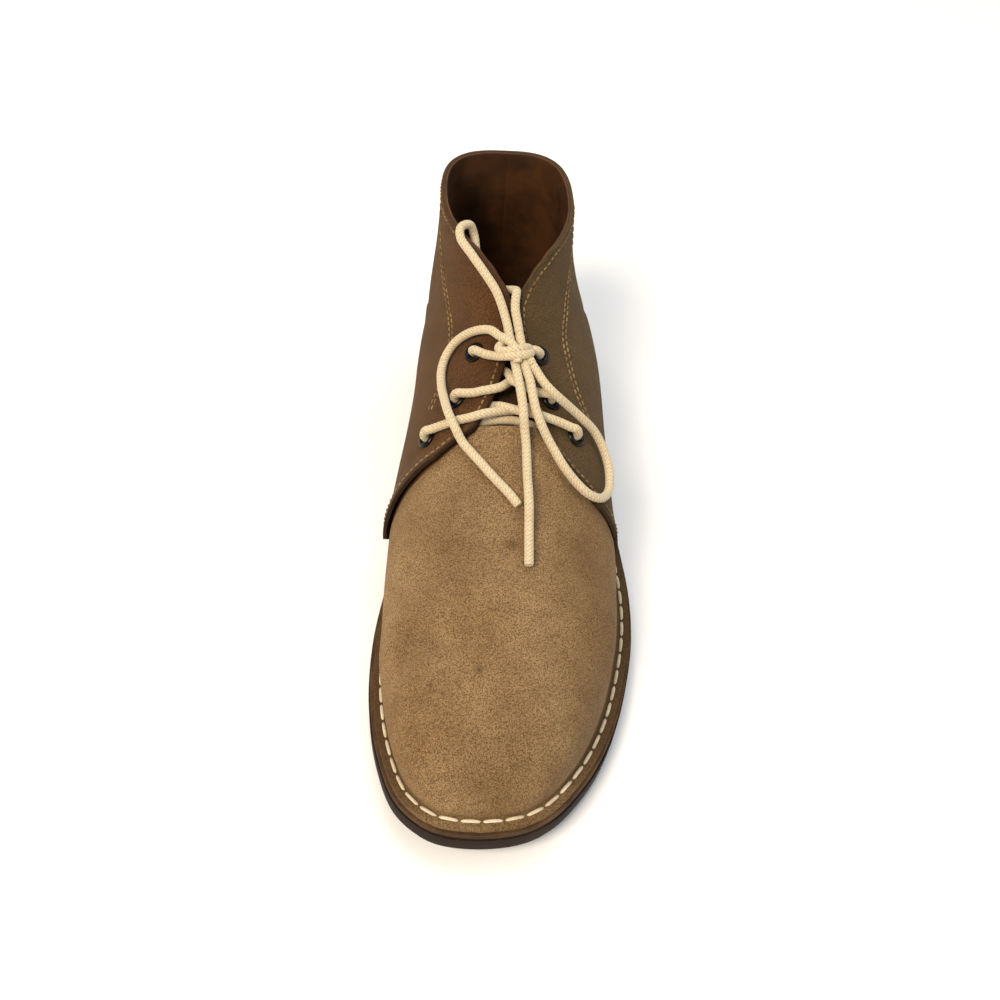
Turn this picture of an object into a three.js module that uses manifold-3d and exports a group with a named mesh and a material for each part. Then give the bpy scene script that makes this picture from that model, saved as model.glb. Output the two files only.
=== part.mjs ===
// A lace-up chukka boot for the left foot, in suede on a stitched-down rubber sole.
// Millimetres, +Z up, toe towards -Y, big toe side towards -X. The boot stands on z = 0.
// The upper is one surface, skin(section, across), drawn through the sections of a last.
import * as THREE from "three";
import { mergeVertices } from "three/addons/utils/BufferGeometryUtils.js";
import Module from "manifold-3d";

const wasm = await Module();
wasm.setup();

// Driving sizes of the last
const LAST_LENGTH = 286; // toe to heel along the sewn line
const BALL_WIDTH = 97; // across the ball along the sewn line
const UPPER_HEIGHT = 91; // heel seat to the top of the collar at the back
const TOE_SPRING = 8;
const TREAD_SPRING = 10; // the tread lifts further than the last, so the toe is thinner
const HEEL_RISE = 11.5;

// Thicknesses and margins
const VAMP_WALL = 1.8;
const QUARTER_STEP = 1.3; // how far the quarters stand proud of the vamp
const QUARTER_LINING = 1.2; // the quarters' depth below the vamp's surface
const TURNED_EDGE = 1.8; // the upper's edge, turned out and sewn down
const TURNED_EDGE_WIDTH = 4.6;
const TURNED_EDGE_INSIDE = 2.6;
const MIDSOLE = 3;
const MIDSOLE_LIP = 1.2; // past the turned edge
const OUTSOLE = 9.4;
const OUTSOLE_LIP = 0.6; // past the midsole
const TREAD_BEVEL = 1.4;
const INSOLE = 2.2;
const INSOLE_INSET = 3.4;
const TONGUE = 1.8;
const EYELET_BORE_RADIUS = 2.35;
const EYELET_BARREL = 0.45;
const EYELET_RIM_RADIUS = 4.5;
const EYELET_RIM_HEIGHT = 1.1;
const LACE_DIAMETER = 3.6;
const GAP = 0.3; // between pieces that touch
const CURVED_GAP = 0.6; // between nested curved pieces, whose facets differ

// Where along the last things change, as shares of half its length from the middle
const SPRING_START = -0.42;
const RISE_START = -0.2;
const RISE_END = 0.77;
const BREAST = 0.44; // front of the heel
const BREAST_SLOPE = 0.03;
const WAIST_START = -0.1; // where the tread leaves the floor behind the ball
const WAIST_END = 0.3;

// Sections of the last, toe to heel and then up the back. Each is a slice that fans
// from the ridge over the instep to the sewn line, or to the back line above the heel.
// y is a share of half LAST_LENGTH, x of half BALL_WIDTH and z, above the seat, of UPPER_HEIGHT.
const COLUMNS = [
  "footY", "footZ", "footMedial", "footLateral", // foot of the slice
  "ridgeY", "ridgeZ", "ridgeX", // top of the slice
  "medial", "lateral", "widest", // widest points, and how far down they lie
  "ridgeRound", "footRound", // 2 is round and more is squarer
];
const SECTIONS = [
  [-1, 0.01, -0.23, -0.23, -1, 0.015, -0.23, -0.23, -0.23, 0.6, 2, 2],
  [-0.989, 0.01, -0.5, 0.04, -0.988, 0.11, -0.23, -0.505, 0.05, 0.6, 2.2, 2],
  [-0.957, 0.01, -0.66, 0.23, -0.954, 0.21, -0.23, -0.68, 0.235, 0.6, 2.3, 2],
  [-0.905, 0.01, -0.785, 0.39, -0.898, 0.295, -0.22, -0.805, 0.4, 0.6, 2.3, 2],
  [-0.821, 0.01, -0.876, 0.58, -0.814, 0.37, -0.21, -0.907, 0.57, 0.62, 2.3, 2],
  [-0.709, 0.01, -0.948, 0.752, -0.702, 0.43, -0.19, -0.975, 0.725, 0.65, 2.3, 2],
  [-0.576, 0.01, -0.98, 0.886, -0.569, 0.493, -0.165, -1.01, 0.85, 0.68, 2.25, 2],
  [-0.422, 0.01, -0.96, 0.99, -0.422, 0.56, -0.135, -1.01, 0.93, 0.7, 2.2, 2],
  [-0.268, 0.01, -0.887, 1.02, -0.275, 0.626, -0.1, -0.99, 0.96, 0.72, 2.15, 2],
  [-0.1, 0.01, -0.784, 0.99, -0.135, 0.69, -0.06, -0.96, 0.96, 0.74, 2.1, 2],
  [0.082, 0.01, -0.7, 0.938, -0.058, 0.73, -0.03, -0.9, 0.96, 0.74, 2.05, 2],
  [0.278, 0.01, -0.66, 0.887, 0.012, 0.762, 0, -0.825, 0.95, 0.73, 2, 2],
  [0.474, 0.01, -0.64, 0.856, 0.067, 0.785, 0.02, -0.763, 0.95, 0.72, 2, 2],
  [0.641, 0.01, -0.63, 0.835, 0.116, 0.807, 0.03, -0.732, 0.94, 0.7, 2, 2],
  [0.781, 0.01, -0.588, 0.794, 0.155, 0.825, 0.04, -0.7, 0.922, 0.69, 2, 2],
  [0.886, 0.01, -0.485, 0.69, 0.183, 0.841, 0.04, -0.67, 0.9, 0.67, 2, 2.1],
  [0.956, 0.01, -0.3, 0.505, 0.206, 0.856, 0.045, -0.66, 0.878, 0.65, 2, 2.2],
  [0.991, 0.01, -0.08, 0.29, 0.226, 0.87, 0.05, -0.652, 0.855, 0.63, 2, 2.3],
  [1, 0.012, 0.103, 0.103, 0.246, 0.883, 0.052, -0.64, 0.83, 0.61, 2, 2.4],
  [1.011, 0.1, 0.103, 0.103, 0.265, 0.899, 0.054, -0.63, 0.792, 0.59, 2, 2.5],
  [1.016, 0.228, 0.093, 0.093, 0.286, 0.918, 0.056, -0.614, 0.74, 0.58, 2, 2.6],
  [1.005, 0.393, 0.082, 0.082, 0.308, 0.941, 0.058, -0.592, 0.687, 0.57, 2, 2.7],
  [0.981, 0.58, 0.072, 0.072, 0.331, 0.969, 0.058, -0.569, 0.643, 0.57, 2, 2.8],
  [0.956, 0.777, 0.062, 0.062, 0.356, 1.005, 0.058, -0.553, 0.614, 0.57, 2, 2.9],
  [0.949, 0.996, 0.052, 0.052, 0.383, 1.06, 0.058, -0.542, 0.598, 0.57, 2, 3],
  [0.956, 1.16, 0.052, 0.052, 0.404, 1.14, 0.058, -0.542, 0.598, 0.57, 2, 3],
].map((row) => Object.fromEntries(COLUMNS.map((name, i) => [name, row[i]])));
const HEEL_SECTION = 18; // the first slice that closes up the back

// Edges of the panels, on the last: a section number against how far down the slice.
// Down a slice, 0 is the ridge, 0.5 the widest point and 1 the sewn line or back line.
const THROAT_SECTION = 10.05;
const NOTCH_SECTION = 20.3; // bottom of the notch where the quarters meet
const QUARTER_FRONT = [
  { down: 0, medial: THROAT_SECTION, lateral: THROAT_SECTION },
  { down: 0.05, medial: 9.7, lateral: 9.3 }, { down: 0.11, medial: 9.3, lateral: 8.85 },
  { down: 0.2, medial: 9.05, lateral: 8.55 }, { down: 0.34, medial: 8.75, lateral: 8.4 },
  { down: 0.5, medial: 8.7, lateral: 8.45 }, { down: 0.75, medial: 8.95, lateral: 8.75 },
  { down: 1, medial: 9.3, lateral: 9.15 },
];
// The quarter's upper edge: up the facing to the notch, then round the collar to the back.
const QUARTER_TOP = [
  { along: 0, section: THROAT_SECTION, down: 0.094 },
  { along: 0.05, section: 10.5, down: 0.084 },
  { along: 0.1, section: 11, down: 0.068 },
  { along: 0.17, section: 11.9, down: 0.048 },
  { along: 0.23, section: 13, down: 0.031 },
  { along: 0.3, section: 14.35, down: 0.02 },
  { along: 0.38, section: 17, down: 0.011 },
  { along: 0.46, section: NOTCH_SECTION, down: 0.007 },
  { along: 0.52, section: 22.1, down: 0.04 },
  { along: 0.58, section: 23.3, down: 0.1 },
  { along: 0.64, section: 24, down: 0.18 },
  { along: 0.72, section: 24.15, down: 0.3 },
  { along: 0.84, section: 24, down: 0.6 },
  { along: 1, section: 24, down: 1 },
];
// Eyelets: a section and each side's distance from the ridge, a share of half BALL_WIDTH
const EYELETS = [
  { level: "low", section: 10.2, medial: 0.62, lateral: 0.58 },
  { level: "mid", section: 11.45, medial: 0.42, lateral: 0.34 },
  { level: "top", section: 14.15, medial: 0.3, lateral: 0.21 },
];
// The quarters' wall round the heel: how far up it reaches, and how far along it fades in
const HEEL_WALL = 0.5;
const HEEL_WALL_START = 0.1;
const HEEL_WALL_END = 0.5;
const VAMP_UNDERLAP = 0.2; // how many sections the vamp runs under the quarters
const TONGUE_START = 9.1;
const TONGUE_END = 19.3;
const TONGUE_SIDE = 0.17; // its side edges at the throat, down the slice
const TONGUE_TAPER = 0.72; // of that at its top
const TONGUE_DEPTH = 6.5; // how far below the last it lies, so that the lace passes over it
const TONGUE_DIP = { start: 9.4, end: 10.15 }; // where it drops from the vamp to that depth

// The lace over the throat, from one eyelet to the next: sections, distances from the ridge
// as shares of half BALL_WIDTH, and heights of its middle above the last in millimetres.
const LACE_POINT = ["section", "aside", "height"];
const LACE_RUNS = [
  { from: "medial_low", to: "lateral_low", under: true, by: [
    [10.5, -0.37, -3.9], [10.6, -0.26, -3.8], [10.6, -0.15, -3.2], [10.6, -0.04, -2.9],
    [10.58, 0.07, -2.9], [10.5, 0.18, -3.1], [10.38, 0.3, -3.5],
  ] },
  { from: "medial_low", to: "lateral_mid", by: [
    [10.4, -0.38, 3.8], [10.45, -0.28, 3.8], [10.6, -0.18, 3.3], [10.75, -0.09, 1.6],
    [10.88, 0, 0], [10.95, 0.06, -0.9], [11.05, 0.12, -2], [11.12, 0.15, -3], [11.3, 0.22, -3.8],
  ] },
  { from: "lateral_low", to: "medial_mid", by: [
    [10.45, 0.4, 3.8], [10.52, 0.32, 3.8], [10.6, 0.24, 3.8], [10.66, 0.15, 3.9],
    [10.77, 0.05, 3.2], [10.95, -0.03, 1.6], [11.1, -0.08, -0.4], [11.22, -0.11, -2.6],
    [11.36, -0.2, -3.8],
  ] },
  { from: "lateral_mid", to: "medial_top", by: [
    [11.65, 0.2, 3.9], [11.85, 0.12, 4.2], [12, 0.06, 4.6], [12.25, 0, 4.2], [12.5, -0.01, 2.9],
    [12.8, -0.02, 0.2], [13.1, -0.03, -2.7], [13.45, -0.1, -3.8],
  ] },
  { from: "medial_mid", to: "lateral_top", by: [
    [11.55, -0.27, 3.8], [11.65, -0.2, 3.8], [11.75, -0.14, 3.5], [11.95, -0.08, 2.4],
    [12.25, -0.04, 0.6], [12.6, 0.01, -1], [12.95, 0.045, -2.8], [13.35, 0.1, -3.8],
  ] },
  { from: "medial_top", by: [[13.85, -0.19, 4.2], [13.74, -0.13, 4.6]] },
  { from: "lateral_top", by: [[14.4, 0.12, 5]] },
];

// Round an eyelet the lace turns about the bore's edge, the rim's crest or the barrel's end.
// These say how far round its middle stands, in half turns from straight outwards.
const LACE_OVER_RIM = { bore: [1, 0.83], crest: [0.66, 0.5, 0.25] };
const LACE_UNDER_BARREL = { bore: [-1, -0.8, -0.65], barrel: [-0.5] };

// The lace's knot, loops and ends, where it lies free. Middles of the lace in millimetres.
const LACE_KNOT = [
  [[-6, 20.1, 95.1], [-4.2, 18.6, 96.8], [-2, 17, 98.2], [1, 16, 98.9], [4, 16.4, 98.6],
    [6.4, 18, 97.6], [7.8, 20.2, 97]],
  [[1.3, 26.4, 99.2], [1.9, 22, 97.6], [2.7, 17.6, 96], [3.6, 13, 95]],
];
const LACE_LYING = {
  lace_loop_upper: [
    [-0.8, 27.2, 99.8], [-1.6, 31.6, 101.4], [-2.6, 35.8, 103], [-4.2, 40.2, 105.7],
    [-6.3, 44, 108.7], [-10.8, 50.1, 112.4], [-16.5, 57.7, 116.3], [-20.8, 64.4, 119],
    [-20.6, 69.2, 120.5], [-16.9, 72.6, 119.5], [-14.8, 72.2, 114.6], [-13.8, 67.6, 110],
    [-12.6, 62.2, 106.4], [-9.4, 56, 103.8], [-5.4, 52.4, 102.4], [-0.3, 50.6, 103.7],
    [2.3, 47.4, 106.1], [2.2, 43.6, 107.9], [1.7, 40, 106.9], [1.6, 36, 105.3],
    [2.4, 31.6, 103], [3.2, 27.2, 100.6],
  ],
  lace_loop_right: [
    [5.7, 11.4, 95.1], [6.9, 6, 94.6], [7.8, 0.6, 92.4], [9, -4.4, 89.6], [11, -8.6, 86.2],
    [13.6, -12, 82], [16.6, -16, 78.6], [20.3, -21, 75], [25.2, -25.4, 70.8],
    [30.6, -28.2, 66.8], [36.3, -26.6, 62.2], [40.6, -20.4, 58.8], [42, -13, 58.8],
    [41.6, -6, 60.8], [39, -0.8, 65.6], [35, 2.4, 71.2], [29.6, 2.8, 77.4],
    [24.2, 3.6, 82.6], [19.6, 3.4, 87.6], [15.6, 4.6, 91], [12.2, 8, 93], [8.4, 14, 95.6],
  ],
  lace_end_left: [
    [-4.8, 26.6, 99.4], [-8.2, 30.8, 98.8], [-13.2, 34, 95.8], [-18.4, 35.8, 91.3],
    [-22.8, 35.7, 86.3], [-26, 32.4, 82.1], [-27.6, 27, 79.8], [-27.7, 18.8, 79.4],
    [-26.6, 8, 81.6], [-24.8, -2.8, 83.8], [-22.2, -8.6, 81.8], [-19.4, -13, 78.9],
    [-15.8, -17.6, 77.7], [-12, -22.4, 76.8], [-8.6, -26.8, 75.9], [-5, -30.8, 74.7],
    [-1.2, -35, 73.4], [2, -39, 71.8],
  ],
  lace_end_centre: [
    [1.7, 12, 95.2], [2.3, 6.4, 94.9], [3.1, 1, 93.2], [3.8, -3.6, 91], [4.2, -8, 88.4],
    [4.8, -11, 84], [5.4, -14.6, 80.6], [5.6, -20.8, 77.8], [5.6, -28.6, 76], [5.7, -35, 75.6],
    [5.7, -41, 74.4], [5.7, -48, 69.6], [5.5, -55.4, 67.2], [5.3, -62.6, 65.2],
  ],
};

// How finely the surfaces are divided
const VAMP_ROWS = 18;
const VAMP_ACROSS = 20;
const QUARTER_ROUND = 18;
const QUARTER_UP = 10;
const SOLE_STEPS_PER_SECTION = 2;
const TONGUE_ROWS = 13;
const TONGUE_ACROSS = 6;
const ROUND_SIDES = 14;
const CORD_SIDES = 8;
const LACE_STEP = 4.2;
const CORD_STEP = 9;

// Sizes that follow
const HALF_LENGTH = LAST_LENGTH / 2;
const HALF_BALL = BALL_WIDTH / 2;
const SOLE_BASE = OUTSOLE + MIDSOLE + 2 * GAP;
const MIDSOLE_EDGE = TURNED_EDGE_WIDTH + MIDSOLE_LIP;
const OUTSOLE_EDGE = MIDSOLE_EDGE + OUTSOLE_LIP;
const SIDES = { medial: -1, lateral: 1 };

const mix = (a, b, share) => a + (b - a) * share;
const ramp = (low, high, value) => Math.min(1, Math.max(0, (value - low) / (high - low)));
const smooth = (share) => share * share * (3 - 2 * share);

// The underside of the upper, which the sole's layers follow.
function seat(y) {
  const at = y / HALF_LENGTH;
  const spring = ramp(SPRING_START, -1, at);
  const rise = smooth(ramp(RISE_START, RISE_END, at));
  return SOLE_BASE + TOE_SPRING * spring * spring + HEEL_RISE * rise;
}

// A straight-line reading of a table with two named columns.
function lookUp(rows, from, to, value) {
  const next = rows.findIndex((row) => row[from] >= value);
  if (next === -1) return rows.at(-1)[to];
  if (next === 0) return rows[0][to];
  const [a, b] = [rows[next - 1], rows[next]];
  return mix(a[to], b[to], (value - a[from]) / (b[from] - a[from]));
}

// One column of the section table as a smooth curve through its rows.
function column(name, section) {
  const last = SECTIONS.length - 1;
  const i = Math.min(last - 1, Math.max(0, Math.floor(section)));
  const t = section - i;
  const b = SECTIONS[i][name];
  const c = SECTIONS[i + 1][name];
  const a = i > 0 ? SECTIONS[i - 1][name] : 2 * b - c;
  const d = i + 2 <= last ? SECTIONS[i + 2][name] : 2 * c - b;
  return 0.5 * (2 * b + (c - a) * t + (2 * a - 5 * b + 4 * c - d) * t * t
    + (3 * b - a - 3 * c + d) * t * t * t);
}

// The slice at a section number, in millimetres, for the side of the foot.
function slice(section, side) {
  const read = (name) => column(name, section);
  const footY = read("footY") * HALF_LENGTH;
  const ridgeY = read("ridgeY") * HALF_LENGTH;
  return {
    foot: new THREE.Vector3(
      read(side < 0 ? "footMedial" : "footLateral") * HALF_BALL,
      footY,
      seat(footY) + read("footZ") * UPPER_HEIGHT,
    ),
    ridge: new THREE.Vector3(
      read("ridgeX") * HALF_BALL,
      ridgeY,
      seat(ridgeY) + read("ridgeZ") * UPPER_HEIGHT,
    ),
    middle: ((read("footMedial") + read("footLateral")) / 2) * HALF_BALL,
    wide: read(side < 0 ? "medial" : "lateral") * HALF_BALL,
    widest: read("widest"),
    ridgePower: 2 / read("ridgeRound"),
    footPower: 2 / read("footRound"),
  };
}

// The middle of the sole's bounding box in X, so that the part stands centred.
const CENTRE_X = (() => {
  const edge = (side) => SECTIONS.map((_, i) => side * slice(Math.min(i, HEEL_SECTION), side).foot.x);
  return (Math.max(...edge(1)) - Math.max(...edge(-1))) / 2;
})();

// A point of the last. across runs from -1, the medial sewn line, over the ridge at 0, to 1.
// Each half of a slice is a rounded quarter from the ridge to the widest point, and then
// as much of a second one as reaches from there to the foot.
function skin(section, across) {
  const s = slice(section, across < 0 ? -1 : 1);
  const down = Math.abs(across);
  let x;
  let share;
  if (down < 0.5) {
    const angle = down * Math.PI;
    x = mix(s.ridge.x, s.wide, Math.sin(angle) ** s.ridgePower);
    share = s.widest * (1 - Math.cos(angle) ** s.ridgePower);
  } else {
    const lower = 2 * down - 1;
    const inset = Math.min(1, (s.foot.x - s.middle) / (s.wide - s.middle) || 0);
    const footAngle = Math.max(0.05, Math.acos(Math.max(0, inset) ** (1 / s.footPower)));
    const flare = s.foot.x - mix(s.middle, s.wide, inset);
    x = mix(s.middle, s.wide, Math.max(0, Math.cos(lower * footAngle)) ** s.footPower)
      + flare * lower * lower;
    share = mix(s.widest, 1, (Math.sin(lower * footAngle) / Math.sin(footAngle)) ** s.footPower);
  }
  return new THREE.Vector3(
    x - CENTRE_X,
    mix(s.ridge.y, s.foot.y, share),
    mix(s.ridge.z, s.foot.z, share),
  );
}

// The outward direction of the last's surface.
function outward(section, across) {
  const step = 0.02;
  const along = skin(section + step, across).sub(skin(section - step, across));
  const over = skin(section, across + step / 2).sub(skin(section, across - step / 2));
  return over.cross(along).normalize();
}

// A point a given height above the last's surface.
function above(section, across, height) {
  return skin(section, across).addScaledVector(outward(section, across), height);
}

// How far across a slice a point lies that is a given distance in X from the ridge.
function acrossAt(section, side, aside) {
  const s = slice(section, side);
  const reach = Math.min(1, (aside * HALF_BALL) / Math.abs(s.wide - s.ridge.x));
  return (side * Math.asin(reach ** (1 / s.ridgePower))) / Math.PI;
}

// Solids

function toManifold(geometry) {
  const bare = new THREE.BufferGeometry();
  bare.setAttribute("position", geometry.getAttribute("position"));
  if (geometry.index) bare.setIndex(geometry.index);
  const merged = mergeVertices(bare, 1e-4);
  const triangles = [];
  const index = merged.index.array;
  for (let i = 0; i < index.length; i += 3) {
    const [a, b, c] = [index[i], index[i + 1], index[i + 2]];
    if (a !== b && b !== c && c !== a) triangles.push(a, b, c);
  }
  return new wasm.Manifold(new wasm.Mesh({
    numProp: 3,
    vertProperties: merged.attributes.position.array,
    triVerts: new Uint32Array(triangles),
  }));
}

function toGeometry(solid) {
  const mesh = solid.getMesh();
  const points = [];
  for (let i = 0; i < mesh.numVert; i++) {
    points.push(...mesh.vertProperties.subarray(i * mesh.numProp, i * mesh.numProp + 3));
  }
  const geometry = new THREE.BufferGeometry();
  geometry.setAttribute("position", new THREE.Float32BufferAttribute(points, 3));
  geometry.setIndex([...mesh.triVerts]);
  geometry.computeVertexNormals();
  return geometry;
}

function geometryOf(points, triangles) {
  const geometry = new THREE.BufferGeometry();
  geometry.setAttribute(
    "position",
    new THREE.Float32BufferAttribute(points.flatMap((p) => [p.x, p.y, p.z]), 3),
  );
  geometry.setIndex(triangles);
  return geometry;
}

// A grid of points as an open surface, facing the way that columns x rows points.
function sheet(rows, columns, pointAt) {
  const points = [];
  const triangles = [];
  for (let i = 0; i <= rows; i++) {
    for (let j = 0; j <= columns; j++) points.push(pointAt(i / rows, j / columns));
  }
  const at = (i, j) => i * (columns + 1) + j;
  for (let i = 0; i < rows; i++) {
    for (let j = 0; j < columns; j++) {
      triangles.push(at(i, j), at(i, j + 1), at(i + 1, j + 1));
      triangles.push(at(i, j), at(i + 1, j + 1), at(i + 1, j));
    }
  }
  return { points, triangles };
}

// Sheets joined along their shared points and given a thickness on both sides.
function thicken(sheets, outer, inner) {
  const points = [];
  const triangles = [];
  const seen = new Map();
  const keyOf = (p) => [p.x, p.y, p.z].map((value) => Math.round(value * 1000)).join();
  for (const part of sheets) {
    const index = part.points.map((p) => {
      const key = keyOf(p);
      if (!seen.has(key)) {
        seen.set(key, points.length);
        points.push(p);
      }
      return seen.get(key);
    });
    for (let i = 0; i < part.triangles.length; i += 3) {
      const [a, b, c] = part.triangles.slice(i, i + 3).map((corner) => index[corner]);
      if (a !== b && b !== c && c !== a) triangles.push([a, b, c]);
    }
  }
  const normals = points.map(() => new THREE.Vector3());
  for (const [a, b, c] of triangles) {
    const face = points[b].clone().sub(points[a]).cross(points[c].clone().sub(points[a]));
    for (const corner of [a, b, c]) normals[corner].add(face);
  }
  normals.forEach((n) => n.normalize());
  const raised = (height) => points.map((p, i) => p.clone().addScaledVector(normals[i], height));
  const count = points.length;
  const all = triangles.flatMap(([a, b, c]) => [a, b, c, c + count, b + count, a + count]);
  const edges = new Set(triangles.flatMap(([a, b, c]) => [`${a},${b}`, `${b},${c}`, `${c},${a}`]));
  for (const edge of edges) {
    const [a, b] = edge.split(",").map(Number);
    if (edges.has(`${b},${a}`)) continue;
    all.push(b, a, a + count, b, a + count, b + count);
  }
  return toManifold(geometryOf([...raised(outer), ...raised(inner)], all));
}

// The sewn line seen from above, moved outwards by offset(y). One closed loop.
function outline(offset) {
  const steps = HEEL_SECTION * SOLE_STEPS_PER_SECTION;
  const half = (side) =>
    Array.from({ length: steps + 1 }, (_, i) => skin(i / SOLE_STEPS_PER_SECTION, side));
  const lateral = half(1);
  const medial = half(-1);
  const loop = [...lateral, ...medial.slice(1, -1).reverse()];
  const count = loop.length;
  return loop.map((p, i) => {
    const along = loop[(i + 1) % count].clone().sub(loop[(i + count - 1) % count]).setZ(0).normalize();
    const reach = offset(p.y);
    return new THREE.Vector3(p.x + along.y * reach, p.y - along.x * reach, 0);
  });
}

// A layer of the sole: rings of the outline from top to bottom, closed by crosswise strips.
function layer(rings) {
  const loops = rings.map(({ offset, height }) => {
    const reach = typeof offset === "number" ? () => offset : offset;
    return outline(reach).map((p) => new THREE.Vector3(p.x, p.y, height(p.y)));
  });
  const count = loops[0].length;
  const triangles = [];
  for (let ring = 0; ring + 1 < loops.length; ring++) {
    for (let i = 0; i < count; i++) {
      const [a, b] = [ring * count + i, ring * count + ((i + 1) % count)];
      triangles.push(a, b + count, b, a, a + count, b + count);
    }
  }
  const strip = (base, flip) => {
    for (let i = 0; i + 1 <= count / 2; i++) {
      const corners = [i, i + 1, (count - i - 1) % count, (count - i) % count].map((k) => base + k);
      const quad = flip ? corners.reverse() : corners;
      triangles.push(quad[0], quad[1], quad[2], quad[0], quad[2], quad[3]);
    }
  };
  strip(0, false);
  strip((loops.length - 1) * count, true);
  return toManifold(geometryOf(loops.flat(), triangles));
}

// Everything below the upper's underside.
function belowSeat() {
  const reach = 4 * OUTSOLE_EDGE;
  return layer([
    { offset: reach, height: seat },
    { offset: reach, height: (y) => seat(y) - reach },
  ]);
}

// A solid turned and placed so that its +Z points outwards at a point of the last.
function placed(geometry, section, across, height) {
  const turn = new THREE.Quaternion().setFromUnitVectors(
    new THREE.Vector3(0, 0, 1),
    outward(section, across),
  );
  const matrix = new THREE.Matrix4().compose(
    above(section, across, height),
    turn,
    new THREE.Vector3(1, 1, 1),
  );
  return geometry.applyMatrix4(matrix);
}

// A ring turned about Z from a closed profile of [radius, height] pairs.
function turned(profile) {
  const outline = profile.map(([radius, height]) => new THREE.Vector2(radius, height));
  const ring = new THREE.LatheGeometry(outline, ROUND_SIDES);
  return ring.rotateX(Math.PI / 2);
}

// The upper

const quarterFront = (down, side) =>
  lookUp(QUARTER_FRONT, "down", side < 0 ? "medial" : "lateral", down);
const quarterTop = (along) => ({
  section: lookUp(QUARTER_TOP, "along", "section", along),
  down: lookUp(QUARTER_TOP, "along", "down", along),
});

// The vamp runs from the toe to just under the quarters' front edge.
function vampShell() {
  const facing = quarterTop(0).down;
  const surface = sheet(VAMP_ROWS, VAMP_ACROSS, (along, over) => {
    const across = mix(-1, 1, over);
    const end = quarterFront(ramp(facing, 1, Math.abs(across)), across) + VAMP_UNDERLAP;
    return skin(end * along, across);
  });
  return thicken([surface], 0, -VAMP_WALL);
}

// A quarter runs from the front edge round to the back line, and up from the sewn line.
function onQuarter(side, along, up) {
  const top = quarterTop(along);
  const front = quarterFront(ramp(quarterTop(0).down, 1, mix(1, top.down, up)), side);
  const straight = mix(quarterFront(1, side), quarterFront(0, side), up);
  const bow = (front - straight) * (1 - along) ** 2;
  const footSection = mix(quarterFront(1, side), HEEL_SECTION, along);
  return skin(mix(footSection, top.section, up) + bow, side * mix(1, top.down, up));
}

// Where the slices crowd together round the heel, its wall is one curve upwards instead.
function quarterPoint(side, along, up) {
  const point = onQuarter(side, along, up);
  const share = smooth(ramp(HEEL_WALL_START, HEEL_WALL_END, along));
  if (share === 0 || up >= HEEL_WALL) return point;
  const foot = onQuarter(side, along, 0);
  const join = onQuarter(side, along, HEEL_WALL);
  const slope = onQuarter(side, along, HEEL_WALL + 0.02).sub(join).normalize();
  const reach = foot.distanceTo(join) / 3;
  const upright = foot.clone().setZ(foot.z + reach);
  const before = join.clone().addScaledVector(slope, -reach);
  const wall = new THREE.CubicBezierCurve3(foot, upright, before, join);
  return point.lerp(wall.getPoint(up / HEEL_WALL), share);
}

function quarterShell() {
  const half = (side) => sheet(QUARTER_ROUND, QUARTER_UP, (along, over) =>
    quarterPoint(side, along, side < 0 ? over : 1 - over));
  return thicken([half(-1), half(1)], QUARTER_STEP, -QUARTER_LINING);
}

// The upper's edge, turned outwards all round to be sewn to the midsole.
function turnedEdge() {
  const plate = (offset, rise) => layer([
    { offset, height: (y) => seat(y) + TURNED_EDGE + rise },
    { offset, height: (y) => seat(y) - rise },
  ]);
  return plate(TURNED_EDGE_WIDTH, 0).subtract(plate(-TURNED_EDGE_INSIDE, GAP));
}

function eyeletHole(section, across) {
  const radius = EYELET_BORE_RADIUS + EYELET_BARREL + GAP;
  const depth = 4 * (QUARTER_STEP + QUARTER_LINING);
  const drill = new THREE.CylinderGeometry(radius, radius, depth, ROUND_SIDES).rotateX(Math.PI / 2);
  return toManifold(placed(drill, section, across, 0));
}

const eyeletPlaces = Object.entries(SIDES).flatMap(([sideName, side]) =>
  EYELETS.map((row) => ({
    place: `${sideName}_${row.level}`,
    section: row.section,
    across: acrossAt(row.section, side, row[sideName]),
  })));

function upper() {
  const body = vampShell().add(quarterShell()).add(turnedEdge()).subtract(belowSeat());
  const holed = eyeletPlaces.reduce(
    (solid, { section, across }) => solid.subtract(eyeletHole(section, across)),
    body,
  );
  return toGeometry(holed);
}

function tongue() {
  const surface = sheet(TONGUE_ROWS, TONGUE_ACROSS, (along, over) => {
    const section = mix(TONGUE_START, TONGUE_END, along);
    const narrow = mix(1, TONGUE_TAPER, along);
    const dip = smooth(ramp(TONGUE_DIP.start, TONGUE_DIP.end, section));
    const depth = mix(VAMP_WALL + CURVED_GAP, TONGUE_DEPTH, dip);
    return above(section, mix(-TONGUE_SIDE, TONGUE_SIDE, over) * narrow, -depth);
  });
  return toGeometry(thicken([surface], 0, -TONGUE));
}

// A flat ring on the quarter with a barrel through its hole.
function eyelet(section, across) {
  const low = -QUARTER_LINING - GAP;
  const seatHeight = QUARTER_STEP + GAP;
  const barrelRadius = EYELET_BORE_RADIUS + EYELET_BARREL;
  const crestRadius = (EYELET_RIM_RADIUS + EYELET_BORE_RADIUS) / 2;
  const edgeHeight = seatHeight + EYELET_RIM_HEIGHT / 3;
  const profile = [
    [EYELET_BORE_RADIUS, low],
    [barrelRadius, low],
    [barrelRadius, seatHeight],
    [EYELET_RIM_RADIUS, seatHeight],
    [EYELET_RIM_RADIUS, edgeHeight],
    [crestRadius, seatHeight + EYELET_RIM_HEIGHT],
    [EYELET_BORE_RADIUS, edgeHeight],
    [EYELET_BORE_RADIUS, low],
  ];
  return placed(turned(profile), section, across, 0);
}

// The lace

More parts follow.
